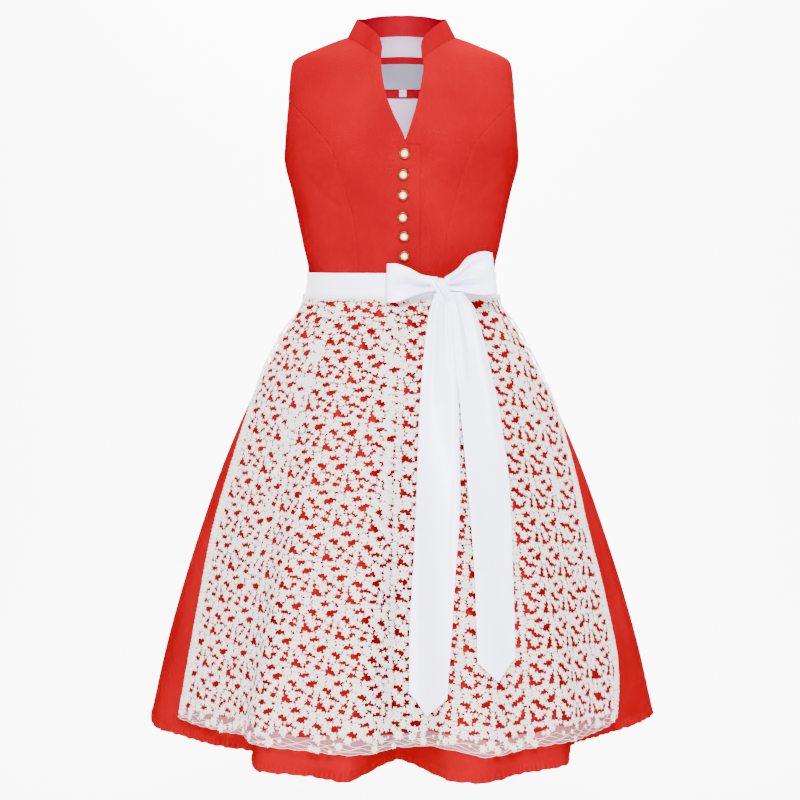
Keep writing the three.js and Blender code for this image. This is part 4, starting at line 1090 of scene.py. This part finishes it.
# Loops of the bow: share of the way round in per cent, middle of the strip, its width and how far it leans
# over, from the knot along the front strip to the turn and back behind.
LOOP_LEFT = table("s x y z wide lean", [
    (0, 50, -116.6, -367.5, 14, 0), (8, 40, -117, -367.8, 17, 0), (18, 28, -118, -366.8, 25, 0),
    (30, 10, -120, -364.3, 43, 0), (42, -11, -121, -364.2, 55.5, 0), (50, -21.5, -114.5, -364.3, 55, 0.5),
    (58, -10, -107.5, -364.3, 54, 0), (70, 10, -104, -364.5, 43, 0), (84, 30, -102.5, -365.5, 25, 0),
    (100, 52, -101.5, -366, 19, 0)])
LOOP_RIGHT = table("s x y z wide lean", [
    (0, 62, -110, -368, 12, 0), (10, 73, -112, -363.5, 24, 0), (20, 86, -115, -359.5, 34, 0),
    (30, 100, -116.5, -355, 49, -1), (41, 121, -111.5, -352, 59, -2), (50, 134, -101.5, -350, 57, -3),
    (59, 121, -92.5, -350.3, 62, -2), (72, 97, -94, -352.7, 52, 0), (85, 80, -99.5, -360, 30, 0),
    (100, 62, -101.5, -366.5, 19, 0)])
LOOP_FOLDS = {  # place across the loop, width, height
    "left": [(-0.15, 0.3, -12.5), (0.5, 0.22, 3.5), (-0.85, 0.18, 3.0)],
    "right": [(-0.5, 0.2, -11.0), (-0.05, 0.2, 5.0), (0.45, 0.26, -8.0), (0.9, 0.18, 2.5)]}
# Middle of the knot, its size, how far it slants and half the angle that it wraps.
KNOT = {"x": 57.6, "y": -108.3, "z": -374, "wide": 23, "tall": 34, "deep": 29, "slant": 7.5, "open": 158}
KNOT_FOLDS = [  # place across the knot, drift with the turn, width, height
    (-0.42, 0.3, 0.12, -3.4), (0.05, 0.35, 0.16, 2.0), (0.48, 0.28, 0.12, -3.2)]


def loop_grid(rows, reverse, folds):
    """Loop of the bow: a strip whose middle line, width and lean follow the table. On its front, folds run
    out from the knot as waves across its width that fade towards the turn."""
    s = np.linspace(100, 0, 141) if reverse else np.linspace(0, 100, 141)
    v = np.linspace(1, -1, 33)[None]
    x, y, z, wide, lean = (along(rows, "s", key)(s)[:, None] for key in ("x", "y", "z", "wide", "lean"))
    grid = np.stack(np.broadcast_arrays(x + lean * v, y, z + v * wide / 2), -1)
    from_knot = np.minimum(s, 100 - s)[:, None]
    near = smooth(from_knot, 2, 9) * (1 - smooth(from_knot, 26, 49))
    wave = sum(high * bump(v, at * (0.5 + 0.5 * from_knot / 30), thin) for at, thin, high in folds)
    return lifted(grid, wave * near * np.where(s > 50, 0, 1)[:, None])


def make_bow():
    """Two loops and the knot between them: a soft wrap that slants from upper left to lower right, drawn in
    at its sides, with creases that follow the slant."""
    for side, rows, reverse in (("left", LOOP_LEFT, True), ("right", LOOP_RIGHT, False)):
        grid = loop_grid(rows, reverse, LOOP_FOLDS[side])
        cloth(f"bow_{side}", grid, [SATIN], SATIN_WALL)
    across = np.linspace(-1, 1, 41)[:, None]
    turn = np.radians(np.linspace(KNOT["open"], -KNOT["open"], 81))[None]
    drawn_in = 1 - 0.42 * across ** 2 - 0.18 * across ** 6
    grid = np.stack(np.broadcast_arrays(
        KNOT["x"] - KNOT["slant"] * np.sin(turn) + across * (KNOT["wide"] + 3 * np.sin(turn)) / 2,
        KNOT["y"] - KNOT["deep"] / 2 * np.cos(turn) * drawn_in,
        KNOT["z"] + KNOT["tall"] / 2 * np.sin(turn) * (1 - 0.12 * across ** 2)), -1)
    crease = sum(high * bump(across, at - drift * np.sin(turn), wide)
                 for at, drift, wide, high in KNOT_FOLDS)
    grid = lifted(grid, crease * (0.35 + 0.65 * np.cos(turn)))
    cloth("bow_knot", grid, [SATIN], SATIN_WALL)


TAIL_LEFT = table("z left right", [
    (-378, 46, 66), (-388, 44.5, 69), (-397, 43, 71.5), (-405, 39.8, 72.5), (-420, 37, 73.5),
    (-437, 34.8, 74.5), (-451, 33, 75), (-529, 27.3, 78.5), (-656, 22.5, 79), (-765, 15.5, 72.7),
    (-850, 11, 67), (-915, 10.8, 62.8)])
TAIL_RIGHT = table("z left right", [
    (-376, 65, 86), (-385, 66, 92.5), (-394.5, 67, 98.4), (-405, 69, 102.5), (-424, 71, 108.5),
    (-451, 73, 115.5), (-503, 77.5, 126.7), (-553, 81, 136.2), (-656, 89.5, 148), (-765, 97, 150.3),
    (-868, 100.5, 151)])
# How far the tails stand out from the apron below the knot.
TAIL_OUT = table("z out", [(-376, 23), (-388, 17), (-400, 10), (-430, 4.5), (-460, 0), (-920, 0)])
TAIL_FOLDS = {  # place across the tail, width, height, and the heights it runs between
    "left": [(0.7, 0.08, -5.5, -380, -500), (0.3, 0.14, 4.5, -380, -560), (0.9, 0.07, 1.6, -430, -760)],
    "right": [(0.2, 0.1, 3.6, -378, -540), (0.46, 0.08, -4.6, -378, -500), (0.78, 0.11, 3.4, -378, -640)]}
TAIL_POINT = 27  # length of the pointed end
TAIL_CLEAR = {"left": 5.2, "right": 6.6}  # from the lace to each tail's face


def over_apron(x, z):
    """Point of the apron in front of a given x and height, found by steps of the angle."""
    angle = np.degrees(np.arctan2(x, 100))
    for _ in range(14):
        point = apron(angle, z)
        angle = angle + np.degrees((x - point[..., 0]) / -point[..., 1]) * 0.8
    return apron(angle, z)


def make_tails():
    """Two tails that come out of the knot and lie on the apron, the right one over the left, each with a
    pointed end and soft lengthwise folds."""
    tail_out = along(TAIL_OUT, "z", "out")
    for side, rows in (("left", TAIL_LEFT), ("right", TAIL_RIGHT)):
        u, v = np.meshgrid(np.linspace(0, 1, 41), np.linspace(0, 1, 150), indexing="ij")
        straight = mix(rows["z"][0], rows["z"][-1], v)
        x = mix(along(rows, "z", "left")(straight), along(rows, "z", "right")(straight), u)
        z = straight - TAIL_POINT * (1 - np.abs(2 * u - 1)) * smooth(v, 0.6, 1)
        grid = over_apron(x, z)
        grid[..., 1] -= tail_out(z)
        height = np.full(u.shape, TAIL_CLEAR[side])
        for at, wide, high, start, end in TAIL_FOLDS[side]:
            length = smooth(-z, -start, -start + 20) * (1 - smooth(-z, -end - 90, -end))
            height = height + high * bump(u, at, wide) * length
        grid = rolled(lifted(grid, height), ("first", "last", "foot"), 0.4, 1.2)
        cloth(f"tail_{side}", grid, [SATIN], SATIN_WALL)


make_band()
make_bow()
make_tails()

# ------------------------------------------------------------------ studio
WORLD = 0.5  # strength of the white world
# Height of the paper's floor, where it starts and where it bends up, the bend's radius, the wall's top and
# half of the paper's width.
BACKDROP = {"floor": -1420, "front": -6000, "bend": 2500, "depth": 1500, "top": 4580, "half": 9000}
# Square lamps, their sides, places and aims in metres.
LAMPS = {
    "name": ["key", "front", "fill", "top", "wall"],
    "watts": [400, 170, 50, 80, 1300],
    "size": [0.9, 1.0, 1.8, 1.8, 3.0],
    "at": [(0.2, -2.7, 1.6), (0.1, -3.3, -0.2), (-2.1, -2.3, 0.0), (0, -0.4, 2.2), (0, 1.4, 2.2)],
    "aim": [(0, 0, -0.5), (0, 0, -0.5), (0, 0, -0.5), (0, 0, -0.5), (0, 4, -0.6)],
}


def make_studio():
    """White floor that curves up into a wall behind the dress, a pale world, and large soft lamps."""
    floor, bend, depth = BACKDROP["floor"], BACKDROP["bend"], BACKDROP["depth"]
    turn = np.linspace(0.1, np.pi / 2, 16)
    y = np.concatenate([np.linspace(BACKDROP["front"], bend, 12), bend + depth * np.sin(turn),
                        np.full(6, float(bend + depth))])
    z = np.concatenate([np.full(12, float(floor)), floor + depth * (1 - np.cos(turn)),
                        np.linspace(floor + depth + 400, BACKDROP["top"], 6)])
    x = np.linspace(-BACKDROP["half"], BACKDROP["half"], 3)[:, None]
    grid = np.stack(np.broadcast_arrays(x, y[None], z[None]), -1)
    # Matte coated paper: an even pale ground without gloss.
    material = start_material("white paper backdrop", Base_Color=linear("#FBFBFB"), Roughness=0.95)[0]
    backdrop = new_mesh("backdrop", grid.reshape(-1, 3), grid_faces(grid.shape[:2])[:, ::-1],
                        grid[..., :2].reshape(-1, 2), [material])
    world = bpy.data.worlds.new("studio")
    bpy.context.scene.world = world
    world.use_nodes = True
    world.node_tree.nodes["Background"].inputs["Color"].default_value = (1, 1, 1, 1)
    world.node_tree.nodes["Background"].inputs["Strength"].default_value = WORLD
    for name, watts, size, at, aim in zip(*LAMPS.values()):
        lamp = bpy.data.lights.new(name, "AREA")
        lamp.energy, lamp.size = watts, size
        obj = bpy.data.objects.new(name, lamp)
        bpy.context.scene.collection.objects.link(obj)
        obj.location = at
        way = np.array(aim, float) - at
        obj.rotation_euler = (math.acos(-way[2] / np.linalg.norm(way)), 0, math.atan2(-way[0], way[1]))


make_studio()
